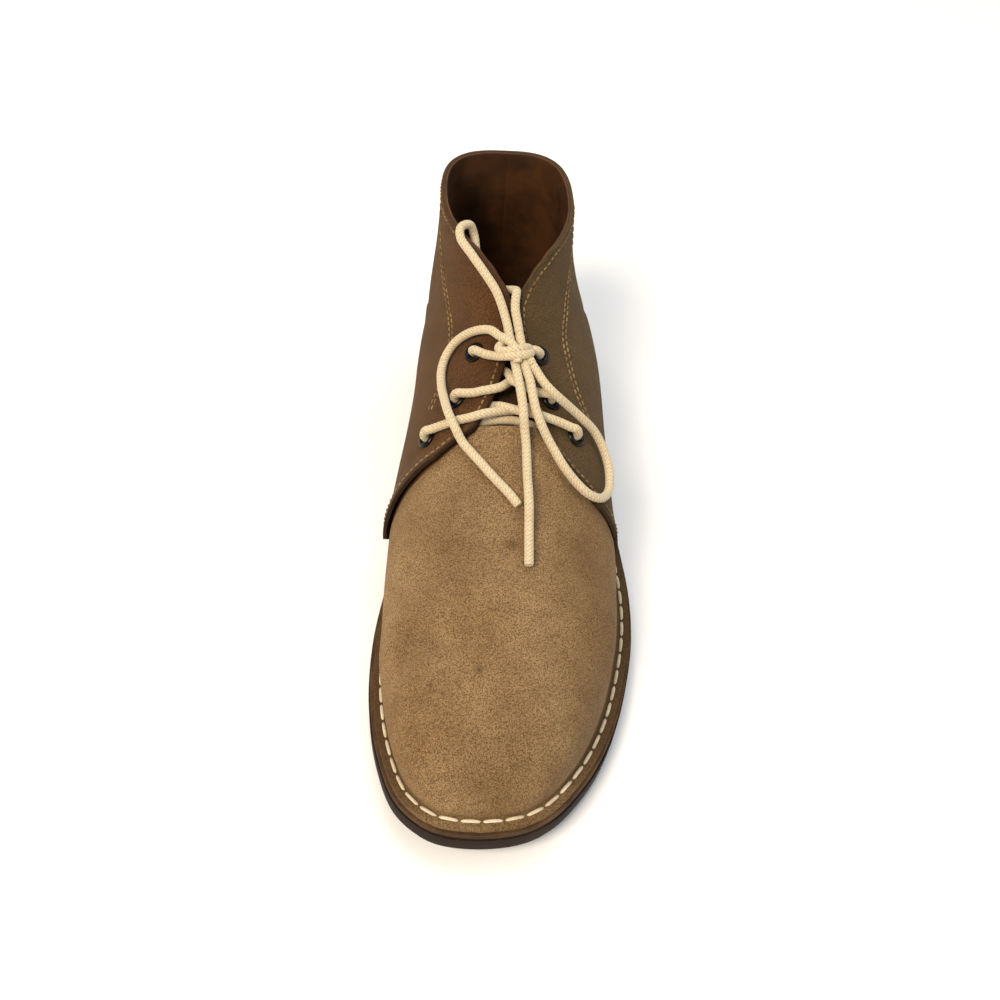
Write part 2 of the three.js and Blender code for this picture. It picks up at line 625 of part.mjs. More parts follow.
// A round cord along a smooth curve through points.
function cord(points, step) {
  const path = new THREE.CatmullRomCurve3(points, false, "centripetal");
  const circle = new THREE.Shape(
    Array.from({ length: CORD_SIDES }, (_, i) => {
      const angle = (i / CORD_SIDES) * 2 * Math.PI;
      const radius = LACE_DIAMETER / 2;
      return new THREE.Vector2(radius * Math.cos(angle), radius * Math.sin(angle));
    }),
  );
  return toManifold(new THREE.ExtrudeGeometry(circle, {
    steps: Math.max(3, Math.round(path.getLength() / step)),
    extrudePath: path,
    bevelEnabled: false,
  }));
}

// The lace's bend out of an eyelet towards a point: over its rim, or below its barrel.
function bend({ section, across }, towards, below) {
  const reach = LACE_DIAMETER / 2 + CURVED_GAP;
  const up = outward(section, across);
  const middle = skin(section, across);
  const aim = towards.clone().sub(middle);
  aim.addScaledVector(up, -aim.dot(up)).normalize();
  const place = (out, height) =>
    middle.clone().addScaledVector(aim, out).addScaledVector(up, height);
  const round = (out, height, halfTurns) => halfTurns.map((share) => place(
    out + reach * Math.cos(share * Math.PI),
    height + reach * Math.sin(share * Math.PI),
  ));
  if (below) {
    const low = -QUARTER_LINING - GAP;
    const barrel = EYELET_BORE_RADIUS + EYELET_BARREL;
    return [
      place(0, GAP),
      ...round(EYELET_BORE_RADIUS, low, LACE_UNDER_BARREL.bore),
      ...round(barrel, low, LACE_UNDER_BARREL.barrel),
    ];
  }
  const edge = QUARTER_STEP + GAP + EYELET_RIM_HEIGHT / 3;
  const crest = (EYELET_RIM_RADIUS + EYELET_BORE_RADIUS) / 2;
  const top = QUARTER_STEP + GAP + EYELET_RIM_HEIGHT;
  return [
    place(0, -GAP),
    ...round(EYELET_BORE_RADIUS, edge, LACE_OVER_RIM.bore),
    ...round(crest, top, LACE_OVER_RIM.crest),
  ];
}

const eyeletAt = (place) => eyeletPlaces.find((eyelet) => eyelet.place === place);

function laceOverThroat() {
  const runs = LACE_RUNS.map(({ from, to, under, by }) => {
    const middle = by.map((row) => {
      const point = Object.fromEntries(LACE_POINT.map((name, i) => [name, row[i]]));
      const across = acrossAt(point.section, Math.sign(point.aside) || 1, Math.abs(point.aside));
      return above(point.section, across, point.height);
    });
    const start = bend(eyeletAt(from), middle[0], under);
    const end = to ? bend(eyeletAt(to), middle.at(-1), true).reverse() : [];
    return cord([...start, ...middle, ...end], LACE_STEP);
  });
  return toGeometry(runs.reduce((joined, run) => joined.add(run)));
}

const laceThrough = (points) => points.map((point) => new THREE.Vector3(...point));

function laceKnot() {
  const strands = LACE_KNOT.map((points) => cord(laceThrough(points), LACE_STEP));
  return toGeometry(strands.reduce((joined, strand) => joined.add(strand)));
}

const laceLying = (points) => toGeometry(cord(laceThrough(points), CORD_STEP));

// The sole

function insole() {
  return toGeometry(layer([
    { offset: -INSOLE_INSET, height: (y) => seat(y) + INSOLE },
    { offset: -INSOLE_INSET, height: seat },
  ]));
}

const midsoleTop = (y) => seat(y) - GAP;
const outsoleTop = (y) => midsoleTop(y) - MIDSOLE - GAP;

function midsole() {
  return toGeometry(layer([
    { offset: MIDSOLE_EDGE, height: midsoleTop },
    { offset: MIDSOLE_EDGE, height: (y) => midsoleTop(y) - MIDSOLE },
  ]));
}

// The underside of the outsole: up at the toe, flat at the ball and up over the waist.
function tread(y) {
  const at = y / HALF_LENGTH;
  const lift = HEEL_RISE * smooth(ramp(WAIST_START, WAIST_END, at));
  return lift + TREAD_SPRING * ramp(SPRING_START, -1, at) ** 2;
}

function outsole() {
  const bevel = (y) => TREAD_BEVEL * ramp(WAIST_END, WAIST_START, y / HALF_LENGTH);
  return toGeometry(layer([
    { offset: OUTSOLE_EDGE, height: outsoleTop },
    { offset: OUTSOLE_EDGE, height: (y) => tread(y) + Math.max(bevel(y), GAP) },
    { offset: (y) => OUTSOLE_EDGE - bevel(y), height: tread },
  ]));
}

// The heel lift: the outline behind a sloping breast.
function heel() {
  const block = layer([
    { offset: OUTSOLE_EDGE, height: () => HEEL_RISE - GAP },
    { offset: OUTSOLE_EDGE, height: () => TREAD_BEVEL },
    { offset: OUTSOLE_EDGE - TREAD_BEVEL, height: () => 0 },
  ]);
  const breast = new THREE.Shape([
    new THREE.Vector2(-2 * HALF_LENGTH, -HEEL_RISE),
    new THREE.Vector2((BREAST + BREAST_SLOPE) * HALF_LENGTH, -HEEL_RISE),
    new THREE.Vector2((BREAST - BREAST_SLOPE) * HALF_LENGTH, 2 * HEEL_RISE),
    new THREE.Vector2(-2 * HALF_LENGTH, 2 * HEEL_RISE),
  ]);
  const front = new THREE.ExtrudeGeometry(breast, { depth: 4 * HALF_BALL, bevelEnabled: false });
  front.translate(0, 0, -2 * HALF_BALL);
  front.applyMatrix4(new THREE.Matrix4().makeBasis(
    new THREE.Vector3(0, 1, 0),
    new THREE.Vector3(0, 0, 1),
    new THREE.Vector3(1, 0, 0),
  ));
  return toGeometry(block.subtract(toManifold(front)));
}

const materials = {
  suede: new THREE.MeshStandardMaterial({ color: 0x8a6238, roughness: 0.95, metalness: 0 }),
  lining: new THREE.MeshStandardMaterial({ color: 0x9a6a35, roughness: 0.8, metalness: 0 }),
  board: new THREE.MeshStandardMaterial({ color: 0x8d6f4a, roughness: 0.85, metalness: 0 }),
  rubber: new THREE.MeshStandardMaterial({ color: 0x4a3526, roughness: 0.8, metalness: 0 }),
  enamel: new THREE.MeshStandardMaterial({ color: 0x1b1a1c, roughness: 0.35, metalness: 0.6 }),
  cotton: new THREE.MeshStandardMaterial({ color: 0xe9dcc4, roughness: 0.9, metalness: 0 }),
};

const boot = new THREE.Group();

function add(name, geometry, material) {
  const mesh = new THREE.Mesh(geometry, material);
  mesh.name = name;
  boot.add(mesh);
}

add("upper", upper(), materials.suede);
add("tongue", tongue(), materials.suede);
add("insole", insole(), materials.lining);
add("midsole", midsole(), materials.board);
add("outsole", outsole(), materials.rubber);
add("heel", heel(), materials.rubber);
for (const { place, section, across } of eyeletPlaces) {
  add(`eyelet_${place}`, eyelet(section, across), materials.enamel);
}
add("lace_crossings", laceOverThroat(), materials.cotton);
add("lace_knot", laceKnot(), materials.cotton);
for (const [name, points] of Object.entries(LACE_LYING)) {
  add(name, laceLying(points), materials.cotton);
}

export default boot;
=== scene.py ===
# A lace-up suede chukka boot for the left foot, dressed over its plain model.
# Metres, +Z up, toe towards -Y, big toe side towards -X. The boot stands on z = 0.
# The upper is one surface, skin(section, across), drawn through the sections of a last.
import math

import bpy
import numpy as np
from mathutils import Matrix, Vector


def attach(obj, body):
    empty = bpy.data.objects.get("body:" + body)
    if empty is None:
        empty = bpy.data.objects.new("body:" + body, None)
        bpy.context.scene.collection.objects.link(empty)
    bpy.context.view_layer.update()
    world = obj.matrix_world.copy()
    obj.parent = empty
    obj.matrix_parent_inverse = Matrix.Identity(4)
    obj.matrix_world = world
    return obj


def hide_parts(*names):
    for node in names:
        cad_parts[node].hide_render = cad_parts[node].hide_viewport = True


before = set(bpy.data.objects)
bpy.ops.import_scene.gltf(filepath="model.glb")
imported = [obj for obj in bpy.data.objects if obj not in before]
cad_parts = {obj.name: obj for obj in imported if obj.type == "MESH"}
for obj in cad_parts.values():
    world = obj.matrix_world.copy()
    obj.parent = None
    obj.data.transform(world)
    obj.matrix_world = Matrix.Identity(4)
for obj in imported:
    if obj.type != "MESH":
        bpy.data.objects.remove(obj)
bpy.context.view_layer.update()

bl_info = {
    "name": "Chukka Boot",
    "version": (1, 0, 0),
    "blender": (4, 5, 0),
    "location": "View3D > Sidebar > Boot",
    "description": "Builds a suede chukka boot with its laces, stitches and sole",
    "category": "Object",
}

MM = 0.001

# The last and the layers around it
LAST_LENGTH = 286 * MM
BALL_WIDTH = 97 * MM
UPPER_HEIGHT = 91 * MM
TOE_SPRING = 8 * MM
TREAD_SPRING = 10 * MM
HEEL_RISE = 11.5 * MM
VAMP_WALL = 1.8 * MM
QUARTER_STEP = 1.3 * MM
QUARTER_LINING = 1.2 * MM
TURNED_EDGE = 1.8 * MM
TURNED_EDGE_WIDTH = 4.6 * MM
MIDSOLE = 3 * MM
MIDSOLE_LIP = 1.2 * MM
OUTSOLE = 9.4 * MM
OUTSOLE_LIP = 0.6 * MM
INSOLE = 2.2 * MM
INSOLE_INSET = 3.4 * MM
TONGUE = 1.8 * MM
TONGUE_DEPTH = 6.5 * MM
EYELET_BORE = 2.35 * MM
EYELET_BARREL = 0.45 * MM
EYELET_RIM = 4.5 * MM
EYELET_RIM_HEIGHT = 1.1 * MM
GAP = 0.3 * MM
CURVED_GAP = 0.6 * MM

HALF_LENGTH = LAST_LENGTH / 2
HALF_BALL = BALL_WIDTH / 2
SOLE_BASE = OUTSOLE + MIDSOLE + 2 * GAP
MIDSOLE_EDGE = TURNED_EDGE_WIDTH + MIDSOLE_LIP
OUTSOLE_EDGE = MIDSOLE_EDGE + OUTSOLE_LIP

# Where along the last things change, as shares of half its length from the middle
SPRING_START = -0.42
RISE_START = -0.2
RISE_END = 0.77
BREAST = 0.44
WAIST_START = -0.1
WAIST_END = 0.3

# Sections of the last, toe to heel and then up the back: y as a share of half LAST_LENGTH,
# x of half BALL_WIDTH, z above the seat of UPPER_HEIGHT, then how square its two rounds are.
COLUMNS = [
    "foot_y", "foot_z", "foot_medial", "foot_lateral", "ridge_y", "ridge_z", "ridge_x",
    "medial", "lateral", "widest", "ridge_round", "foot_round",
]
SECTIONS = [
    [-1, 0.01, -0.23, -0.23, -1, 0.015, -0.23, -0.23, -0.23, 0.6, 2, 2],
    [-0.989, 0.01, -0.5, 0.04, -0.988, 0.11, -0.23, -0.505, 0.05, 0.6, 2.2, 2],
    [-0.957, 0.01, -0.66, 0.23, -0.954, 0.21, -0.23, -0.68, 0.235, 0.6, 2.3, 2],
    [-0.905, 0.01, -0.785, 0.39, -0.898, 0.295, -0.22, -0.805, 0.4, 0.6, 2.3, 2],
    [-0.821, 0.01, -0.876, 0.58, -0.814, 0.37, -0.21, -0.907, 0.57, 0.62, 2.3, 2],
    [-0.709, 0.01, -0.948, 0.752, -0.702, 0.43, -0.19, -0.975, 0.725, 0.65, 2.3, 2],
    [-0.576, 0.01, -0.98, 0.886, -0.569, 0.493, -0.165, -1.01, 0.85, 0.68, 2.25, 2],
    [-0.422, 0.01, -0.96, 0.99, -0.422, 0.56, -0.135, -1.01, 0.93, 0.7, 2.2, 2],
    [-0.268, 0.01, -0.887, 1.02, -0.275, 0.626, -0.1, -0.99, 0.96, 0.72, 2.15, 2],
    [-0.1, 0.01, -0.784, 0.99, -0.135, 0.69, -0.06, -0.96, 0.96, 0.74, 2.1, 2],
    [0.082, 0.01, -0.7, 0.938, -0.058, 0.73, -0.03, -0.9, 0.96, 0.74, 2.05, 2],
    [0.278, 0.01, -0.66, 0.887, 0.012, 0.762, 0, -0.825, 0.95, 0.73, 2, 2],
    [0.474, 0.01, -0.64, 0.856, 0.067, 0.785, 0.02, -0.763, 0.95, 0.72, 2, 2],
    [0.641, 0.01, -0.63, 0.835, 0.116, 0.807, 0.03, -0.732, 0.94, 0.7, 2, 2],
    [0.781, 0.01, -0.588, 0.794, 0.155, 0.825, 0.04, -0.7, 0.922, 0.69, 2, 2],
    [0.886, 0.01, -0.485, 0.69, 0.183, 0.841, 0.04, -0.67, 0.9, 0.67, 2, 2.1],
    [0.956, 0.01, -0.3, 0.505, 0.206, 0.856, 0.045, -0.66, 0.878, 0.65, 2, 2.2],
    [0.991, 0.01, -0.08, 0.29, 0.226, 0.87, 0.05, -0.652, 0.855, 0.63, 2, 2.3],
    [1, 0.012, 0.103, 0.103, 0.246, 0.883, 0.052, -0.64, 0.83, 0.61, 2, 2.4],
    [1.011, 0.1, 0.103, 0.103, 0.265, 0.899, 0.054, -0.63, 0.792, 0.59, 2, 2.5],
    [1.016, 0.228, 0.093, 0.093, 0.286, 0.918, 0.056, -0.614, 0.74, 0.58, 2, 2.6],
    [1.005, 0.393, 0.082, 0.082, 0.308, 0.941, 0.058, -0.592, 0.687, 0.57, 2, 2.7],
    [0.981, 0.58, 0.072, 0.072, 0.331, 0.969, 0.058, -0.569, 0.643, 0.57, 2, 2.8],
    [0.956, 0.777, 0.062, 0.062, 0.356, 1.005, 0.058, -0.553, 0.614, 0.57, 2, 2.9],
    [0.949, 0.996, 0.052, 0.052, 0.383, 1.06, 0.058, -0.542, 0.598, 0.57, 2, 3],
    [0.956, 1.16, 0.052, 0.052, 0.404, 1.14, 0.058, -0.542, 0.598, 0.57, 2, 3],
]
HEEL_SECTION = 18
TABLE = {name: np.array([row[i] for row in SECTIONS]) for i, name in enumerate(COLUMNS)}

# Edges of the panels: sections against how far down the slice, 0 the ridge and 1 the foot
THROAT_SECTION = 10.05
FRONT_DOWN = [0, 0.05, 0.11, 0.2, 0.34, 0.5, 0.75, 1]
FRONT_SECTION = {
    -1: [THROAT_SECTION, 9.7, 9.3, 9.05, 8.75, 8.7, 8.95, 9.3],
    1: [THROAT_SECTION, 9.3, 8.85, 8.55, 8.4, 8.45, 8.75, 9.15],
}
TOP_ALONG = [0, 0.05, 0.1, 0.17, 0.23, 0.3, 0.38, 0.46, 0.52, 0.58, 0.64, 0.72, 0.84, 1]
TOP_SECTION = [
    THROAT_SECTION, 10.5, 11, 11.9, 13, 14.35, 17, 20.3, 22.1, 23.3, 24, 24.15, 24, 24,
]
TOP_DOWN = [
    0.094, 0.084, 0.068, 0.048, 0.031, 0.02, 0.011, 0.007, 0.04, 0.1, 0.18, 0.3, 0.6, 1,
]
TOP_ROUNDING = 0.012  # how far the edge's corners are rounded off, as a share of its length
HEEL_WALL = 0.5  # how far up a quarter its wall round the heel is one curve
HEEL_WALL_PROBE = 0.02
HEEL_WALL_START = 0.1
HEEL_WALL_END = 0.5
VAMP_UNDERLAP = 0.5  # how many sections the vamp runs under the quarters
THROAT_UNDERLAP = 0.2  # and past the throat's lower edge
THROAT_UNDERLAP_DOWN = 0.14  # how far down the slice that one has passed into the other
TONGUE_START = 9.1
TONGUE_END = 19.3
TONGUE_SIDE = 0.17
TONGUE_TAPER = 0.72
TONGUE_DIP = (9.4, 10.15)

# Eyelets: a section, and the distance from the ridge as a share of half BALL_WIDTH
EYELETS = {
    "medial_low": (10.2, -0.62), "medial_mid": (11.45, -0.42), "medial_top": (14.15, -0.3),
    "lateral_low": (10.2, 0.58), "lateral_mid": (11.45, 0.34), "lateral_top": (14.15, 0.21),
}
# The lace over the throat: section, share of half BALL_WIDTH from the ridge, height in mm
LACE_RUNS = [
    ("medial_low", "lateral_low", True, [
        (10.5, -0.37, -3.9), (10.6, -0.26, -3.8), (10.6, -0.15, -3.2), (10.6, -0.04, -2.9),
        (10.58, 0.07, -2.9), (10.5, 0.18, -3.1), (10.38, 0.3, -3.5),
    ]),
    ("medial_low", "lateral_mid", False, [
        (10.4, -0.38, 3.8), (10.45, -0.28, 3.8), (10.6, -0.18, 3.3), (10.75, -0.09, 1.6),
        (10.88, 0, 0), (10.95, 0.06, -0.9), (11.05, 0.12, -2), (11.12, 0.15, -3),
        (11.3, 0.22, -3.8),
    ]),
    ("lateral_low", "medial_mid", False, [
        (10.45, 0.4, 3.8), (10.52, 0.32, 3.8), (10.6, 0.24, 3.8), (10.66, 0.15, 3.9),
        (10.77, 0.05, 3.2), (10.95, -0.03, 1.6), (11.1, -0.08, -0.4), (11.22, -0.11, -2.6),
        (11.36, -0.2, -3.8),
    ]),
    ("lateral_mid", "medial_top", False, [
        (11.65, 0.2, 3.9), (11.85, 0.12, 4.2), (12, 0.06, 4.6), (12.25, 0, 4.2),
        (12.5, -0.01, 2.9), (12.8, -0.02, 0.2), (13.1, -0.03, -2.7), (13.45, -0.1, -3.8),
    ]),
    ("medial_mid", "lateral_top", False, [
        (11.55, -0.27, 3.8), (11.65, -0.2, 3.8), (11.75, -0.14, 3.5), (11.95, -0.08, 2.4),
        (12.25, -0.04, 0.6), (12.6, 0.01, -1), (12.95, 0.045, -2.8), (13.35, 0.1, -3.8),
    ]),
    ("medial_top", None, False, [(13.85, -0.19, 4.2), (13.74, -0.13, 4.6)]),
    ("lateral_top", None, False, [(14.4, 0.12, 5)]),
]
# How far round an eyelet's edges the lace bends, in half turns from straight outwards
LACE_OVER_RIM = {"bore": [1, 0.83], "crest": [0.66, 0.5, 0.25]}
LACE_UNDER_BARREL = {"bore": [-1, -0.8, -0.65], "barrel": [-0.5]}

# The lace's knot, loops and ends, in millimetres: the same routes as in the plain model
LACE_KNOT = {
    "band": [(-6.8, 20.3, 94.5), (-5.2, 18.2, 96.2), (-2.6, 16.2, 98.2), (0.8, 15.4, 99.2),
             (4.2, 16, 99.2), (6.8, 17.8, 98.2), (7.9, 20.4, 96.6)],
    "wrap": [(-3.6, 24, 97.6), (-5.2, 21.4, 97.8), (-4.4, 18.8, 98.6), (-1.6, 17.4, 99.8),
             (2, 18, 100.4), (5, 19.6, 99.4), (6.6, 22, 97.4)],
    "left_end": [(-4.8, 26.6, 99.4), (-2.4, 23.6, 100.6), (0, 20.2, 101), (1.6, 16.8, 99.6),
                 (2.2, 13.5, 97.4)],
    "centre": [(-0.8, 27.2, 99.8), (-0.1, 23.4, 98.3), (0.6, 19.6, 96.6), (1.3, 15.6, 95.6),
               (1.7, 12, 95.2)],
    "right": [(3.2, 27.2, 100.6), (3.9, 23.2, 98.6), (4.6, 19, 96.8), (5.2, 15, 95.6),
              (5.7, 11.4, 95.1)],
    "right_back": [(8.4, 14, 95.6), (7.2, 16.8, 96.2), (6, 19.6, 96.4)],
    "lateral_top": [(7.9, 22.5, 96.4), (6.2, 21.6, 98), (4, 20.4, 98.8)],
}
LACE_LYING = {
    "lace_loop_upper": [
        (-0.8, 27.2, 99.8), (-1.6, 31.6, 101.4), (-2.6, 35.8, 103), (-4.2, 40.2, 105.7),
        (-6.3, 44, 108.7), (-10.8, 50.1, 112.4), (-16.5, 57.7, 116.3), (-20.8, 64.4, 119),
        (-20.6, 69.2, 120.5), (-16.9, 72.6, 119.5), (-14.8, 72.2, 114.6), (-13.8, 67.6, 110),
        (-12.6, 62.2, 106.4), (-9.4, 56, 103.8), (-5.4, 52.4, 102.4), (-0.3, 50.6, 103.7),
        (2.3, 47.4, 106.1), (2.2, 43.6, 107.9), (1.7, 40, 106.9), (1.6, 36, 105.3),
        (2.4, 31.6, 103), (3.2, 27.2, 100.6),
    ],
    "lace_loop_right": [
        (5.7, 11.4, 95.1), (6.9, 6, 94.6), (7.8, 0.6, 92.4), (9, -4.4, 89.6),
        (11, -8.6, 86.2), (13.6, -12, 82), (16.6, -16, 78.6), (20.3, -21, 75),
        (25.2, -25.4, 70.8), (30.6, -28.2, 66.8), (36.3, -26.6, 62.2), (40.6, -20.4, 58.8),
        (42, -13, 58.8), (41.6, -6, 60.8), (39, -0.8, 65.6), (35, 2.4, 71.2),
        (29.6, 2.8, 77.4), (24.2, 3.6, 82.6), (19.6, 3.4, 87.6), (15.6, 4.6, 91),
        (12.2, 8, 93), (8.4, 14, 95.6),
    ],
    "lace_end_left": [
        (-4.8, 26.6, 99.4), (-8.2, 30.8, 98.8), (-13.2, 34, 95.8), (-18.4, 35.8, 91.3),
        (-22.8, 35.7, 86.3), (-26, 32.4, 82.1), (-27.6, 27, 79.8), (-27.7, 18.8, 79.4),
        (-26.6, 8, 81.6), (-24.8, -2.8, 83.8), (-22.2, -8.6, 81.8), (-19.4, -13, 78.9),
        (-15.8, -17.6, 77.7), (-12, -22.4, 76.8), (-8.6, -26.8, 75.9), (-5, -30.8, 74.7),
        (-1.2, -35, 73.4), (2, -39, 71.8),
    ],
    "lace_end_centre": [
        (1.7, 12, 95.2), (2.3, 6.4, 94.9), (3.1, 1, 93.2), (3.8, -3.6, 91), (4.2, -8, 88.4),
        (4.8, -11, 84), (5.4, -14.6, 80.6), (5.6, -20.8, 77.8), (5.6, -28.6, 76),
        (5.7, -35, 75.6), (5.7, -41, 74.4), (5.7, -48, 69.6), (5.5, -55.4, 67.2),
        (5.3, -62.6, 65.2),
    ],
}

# Soft troughs and ridges of the vamp, with ridges above zero: section, across, half length in
# sections, half width across, how it turns, and height in millimetres
VAMP_FORMS = [
    (5.65, -0.2, 0.352, 0.17, 1.2, -2.2),
    (6.2, -0.24, 0.44, 0.25, 1.2, 1.5),
    (7, -0.1, 0.528, 0.3, 0.5, -1.1),
    (6.5, 0.14, 0.484, 0.3, -0.8, 1),
    (8.2, -0.02, 0.66, 0.25, 0, 0.8),
    (7.6, 0.25, 0.352, 0.2, -1.5, -1.2),
    (5.4, 0.3, 0.44, 0.2, -1.5, -0.8),
]
# Dark marks on the vamp, the three small ones stains and the larger ones painted shade in the
# creases' troughs and over the toe and the side turned from the light: section, across, size in
# sections, and how dark
VAMP_STAINS_AND_SHADE = [
    (5, -0.02, 0.08, 0.7), (7.35, 0.03, 0.08, 0.7), (4.7, -0.17, 0.08, 0.6),
    (5.5, -0.3, 0.32, 0.3), (3.2, 0.46, 1.3, 0.34), (5.5, -0.2, 0.6, 0.2),
    (7.8, -0.1, 1.1, 0.26), (7.4, 0.24, 1.2, 0.26), (5.2, 0.34, 1.4, 0.3),
    (2.4, 0.1, 1.6, 0.22),
]
ACROSS_PER_SECTION = 8  # about as many millimetres in one section as in an eighth across
# Double seams down the quarters: section and how far down the slice
SEAM_LINES = {
    -1: [(23.9, 0.5), (23, 0.44), (21.7, 0.38), (20.4, 0.3), (18.35, 0.26), (15.8, 0.24),
         (13.4, 0.235), (12.1, 0.25), (11.2, 0.28)],
    1: [(23.9, 0.47), (23.1, 0.41), (22.15, 0.34), (20, 0.21), (15.95, 0.17), (13.2, 0.18),
        (11.75, 0.21), (10.95, 0.26)],
}
SIDE_NAMES = {-1: "medial", 1: "lateral"}

# Camera: its place in millimetres, its angles in degrees and its focal length in mm
CAMERA_PLACE = (-36, -296, 380)
CAMERA_DOWN = 49.7
CAMERA_YAW = 6.8
CAMERA_ROLL = 6.1
CAMERA_LENS = 37.84
CAMERA_NEAR = 10 * MM


def ramp(low, high, value):
    return np.clip((value - low) / (high - low), 0, 1)


def smooth(share):
    return share * share * (3 - 2 * share)


def mix(a, b, share):
    return a + (b - a) * share


def unit(vectors):
    return vectors / np.maximum(np.linalg.norm(vectors, axis=-1, keepdims=True), 1e-12)


def seat(y):
    """The underside of the upper, which the sole's layers follow."""
    at = y / HALF_LENGTH
    spring = ramp(SPRING_START, -1, at)
    rise = smooth(ramp(RISE_START, RISE_END, at))
    return SOLE_BASE + TOE_SPRING * spring * spring + HEEL_RISE * rise


def tread(y):
    """The underside of the outsole: up at the toe, flat at the ball, up over the waist."""
    at = y / HALF_LENGTH
    lift = HEEL_RISE * smooth(ramp(WAIST_START, WAIST_END, at))
    return lift + TREAD_SPRING * ramp(SPRING_START, -1, at) ** 2


def column(name, section):
    """One column of the section table as a smooth curve through its rows."""
    rows = TABLE[name]
    last = len(rows) - 1
    i = np.clip(np.floor(section).astype(int), 0, last - 1)
    t = section - i
    b, c = rows[i], rows[i + 1]
    a = np.where(i > 0, rows[np.maximum(i - 1, 0)], 2 * b - c)
    d = np.where(i + 2 <= last, rows[np.minimum(i + 2, last)], 2 * c - b)
    cubic = (3 * b - a - 3 * c + d) * t ** 3
    return 0.5 * (2 * b + (c - a) * t + (2 * a - 5 * b + 4 * c - d) * t * t + cubic)


def skin_at(section, across):
    """A point of the last, before it is centred. across is -1 at the medial sewn line."""
    section, across = np.broadcast_arrays(np.asarray(section, float), np.asarray(across, float))
    medial = across < 0

    def read(name):
        return column(name, section)

    foot_y = read("foot_y") * HALF_LENGTH
    ridge_y = read("ridge_y") * HALF_LENGTH
    foot_z = seat(foot_y) + read("foot_z") * UPPER_HEIGHT
    ridge_z = seat(ridge_y) + read("ridge_z") * UPPER_HEIGHT
    ridge_x = read("ridge_x") * HALF_BALL
    foot_sides = read("foot_medial") * HALF_BALL, read("foot_lateral") * HALF_BALL
    foot_x = np.where(medial, *foot_sides)
    middle = sum(foot_sides) / 2
    wide = np.where(medial, read("medial"), read("lateral")) * HALF_BALL
    widest = read("widest")
    ridge_power = 2 / read("ridge_round")
    foot_power = 2 / read("foot_round")
    down = np.abs(across)
    angle = np.minimum(down, 0.5) * np.pi
    upper_x = mix(ridge_x, wide, np.sin(angle) ** ridge_power)
    upper_share = widest * (1 - np.maximum(np.cos(angle), 0) ** ridge_power)
    lower = np.maximum(2 * down - 1, 0)
    span = wide - middle
    level = np.abs(span) < 1e-9
    inset = np.where(level, 0, (foot_x - middle) / np.where(level, 1, span))
    inset = np.clip(inset, 0, 1)
    foot_angle = np.maximum(0.05, np.arccos(inset ** (1 / foot_power)))
    flare = foot_x - mix(middle, wide, inset)
    lower_x = mix(middle, wide, np.maximum(np.cos(lower * foot_angle), 0) ** foot_power)
    lower_x = lower_x + flare * lower * lower
    reach = (np.sin(lower * foot_angle) / np.sin(foot_angle)) ** foot_power
    lower_share = mix(widest, 1, reach)
    upper_part = down < 0.5
    share = np.where(upper_part, upper_share, lower_share)
    return np.stack([
        np.where(upper_part, upper_x, lower_x),
        mix(ridge_y, foot_y, share),
        mix(ridge_z, foot_z, share),
    ], axis=-1)


ROWS = np.minimum(np.arange(len(SECTIONS)), HEEL_SECTION)
CENTRE_X = (skin_at(ROWS, 1.0)[:, 0].max() + skin_at(ROWS, -1.0)[:, 0].min()) / 2


def skin(section, across):
    return skin_at(section, across) - (CENTRE_X, 0, 0)


def outward(section, across, step=0.02):
    """The outward direction of the last's surface."""
    section, across = np.asarray(section, float), np.asarray(across, float)
    along = skin(section + step, across) - skin(section - step, across)
    over = skin(section, across + step / 2) - skin(section, across - step / 2)
    return unit(np.cross(over, along))


def above(section, across, height):
    return skin(section, across) + outward(section, across) * np.asarray(height)[..., None]


def across_at(section, aside):
    """How far across a slice a point lies that is a given distance in X from the ridge."""
    section = np.asarray(section)
    side = np.where(np.asarray(aside) < 0, -1, 1)
    wide = np.where(side < 0, column("medial", section), column("lateral", section))
    reach = np.abs(aside) / np.abs(wide - column("ridge_x", section))
    power = column("ridge_round", section) / 2
    return side * np.arcsin(np.minimum(1, reach) ** power) / np.pi


def eyelet_seat(place):
    """An eyelet's middle on the last, and the outward direction there."""
    section, aside = EYELETS[place]
    across = float(across_at(section, aside))
    return skin(section, across), outward(section, across)


# The sewn line, seen from above

EDGE_STEPS = 12 * HEEL_SECTION
END_ROUNDED = 36  # how many steps from the toe's and heel's middles the outline is smoothed


def sewn_loop():
    """The sewn line as one loop, lateral side first, and its outward directions."""
    sections = np.linspace(0, HEEL_SECTION, EDGE_STEPS + 1)
    lateral = skin(sections, 1.0)
    medial = skin(sections, -1.0)
    loop = np.concatenate([lateral, medial[-2:0:-1]])
    from_end = np.arange(len(loop)) % EDGE_STEPS
    from_end = np.minimum(from_end, EDGE_STEPS - from_end)
    share = smooth(ramp(END_ROUNDED, 0, from_end))[:, None]
    for _ in range(END_ROUNDED):
        around = (np.roll(loop, -1, axis=0) + np.roll(loop, 1, axis=0)) / 2
        loop = mix(loop, around, 0.5 * share)
    along = np.roll(loop, -1, axis=0) - np.roll(loop, 1, axis=0)
    directions = unit(np.stack([along[:, 1], -along[:, 0], 0 * along[:, 0]], axis=-1))
    return loop, directions


SEWN_LOOP, SEWN_OUT = sewn_loop()


def edge_direction(section, side):
    """The way outwards from the sewn line at a section, for each side."""
    at = np.linspace(0, HEEL_SECTION, EDGE_STEPS + 1)
    index = np.arange(EDGE_STEPS + 1)
    found = []
    for order in (index, -index):
        table = SEWN_OUT[order]
        found.append(np.stack([np.interp(section, at, table[:, k]) for k in range(3)], axis=-1))
    return unit(np.where((np.asarray(side) > 0)[..., None], found[0], found[1]))


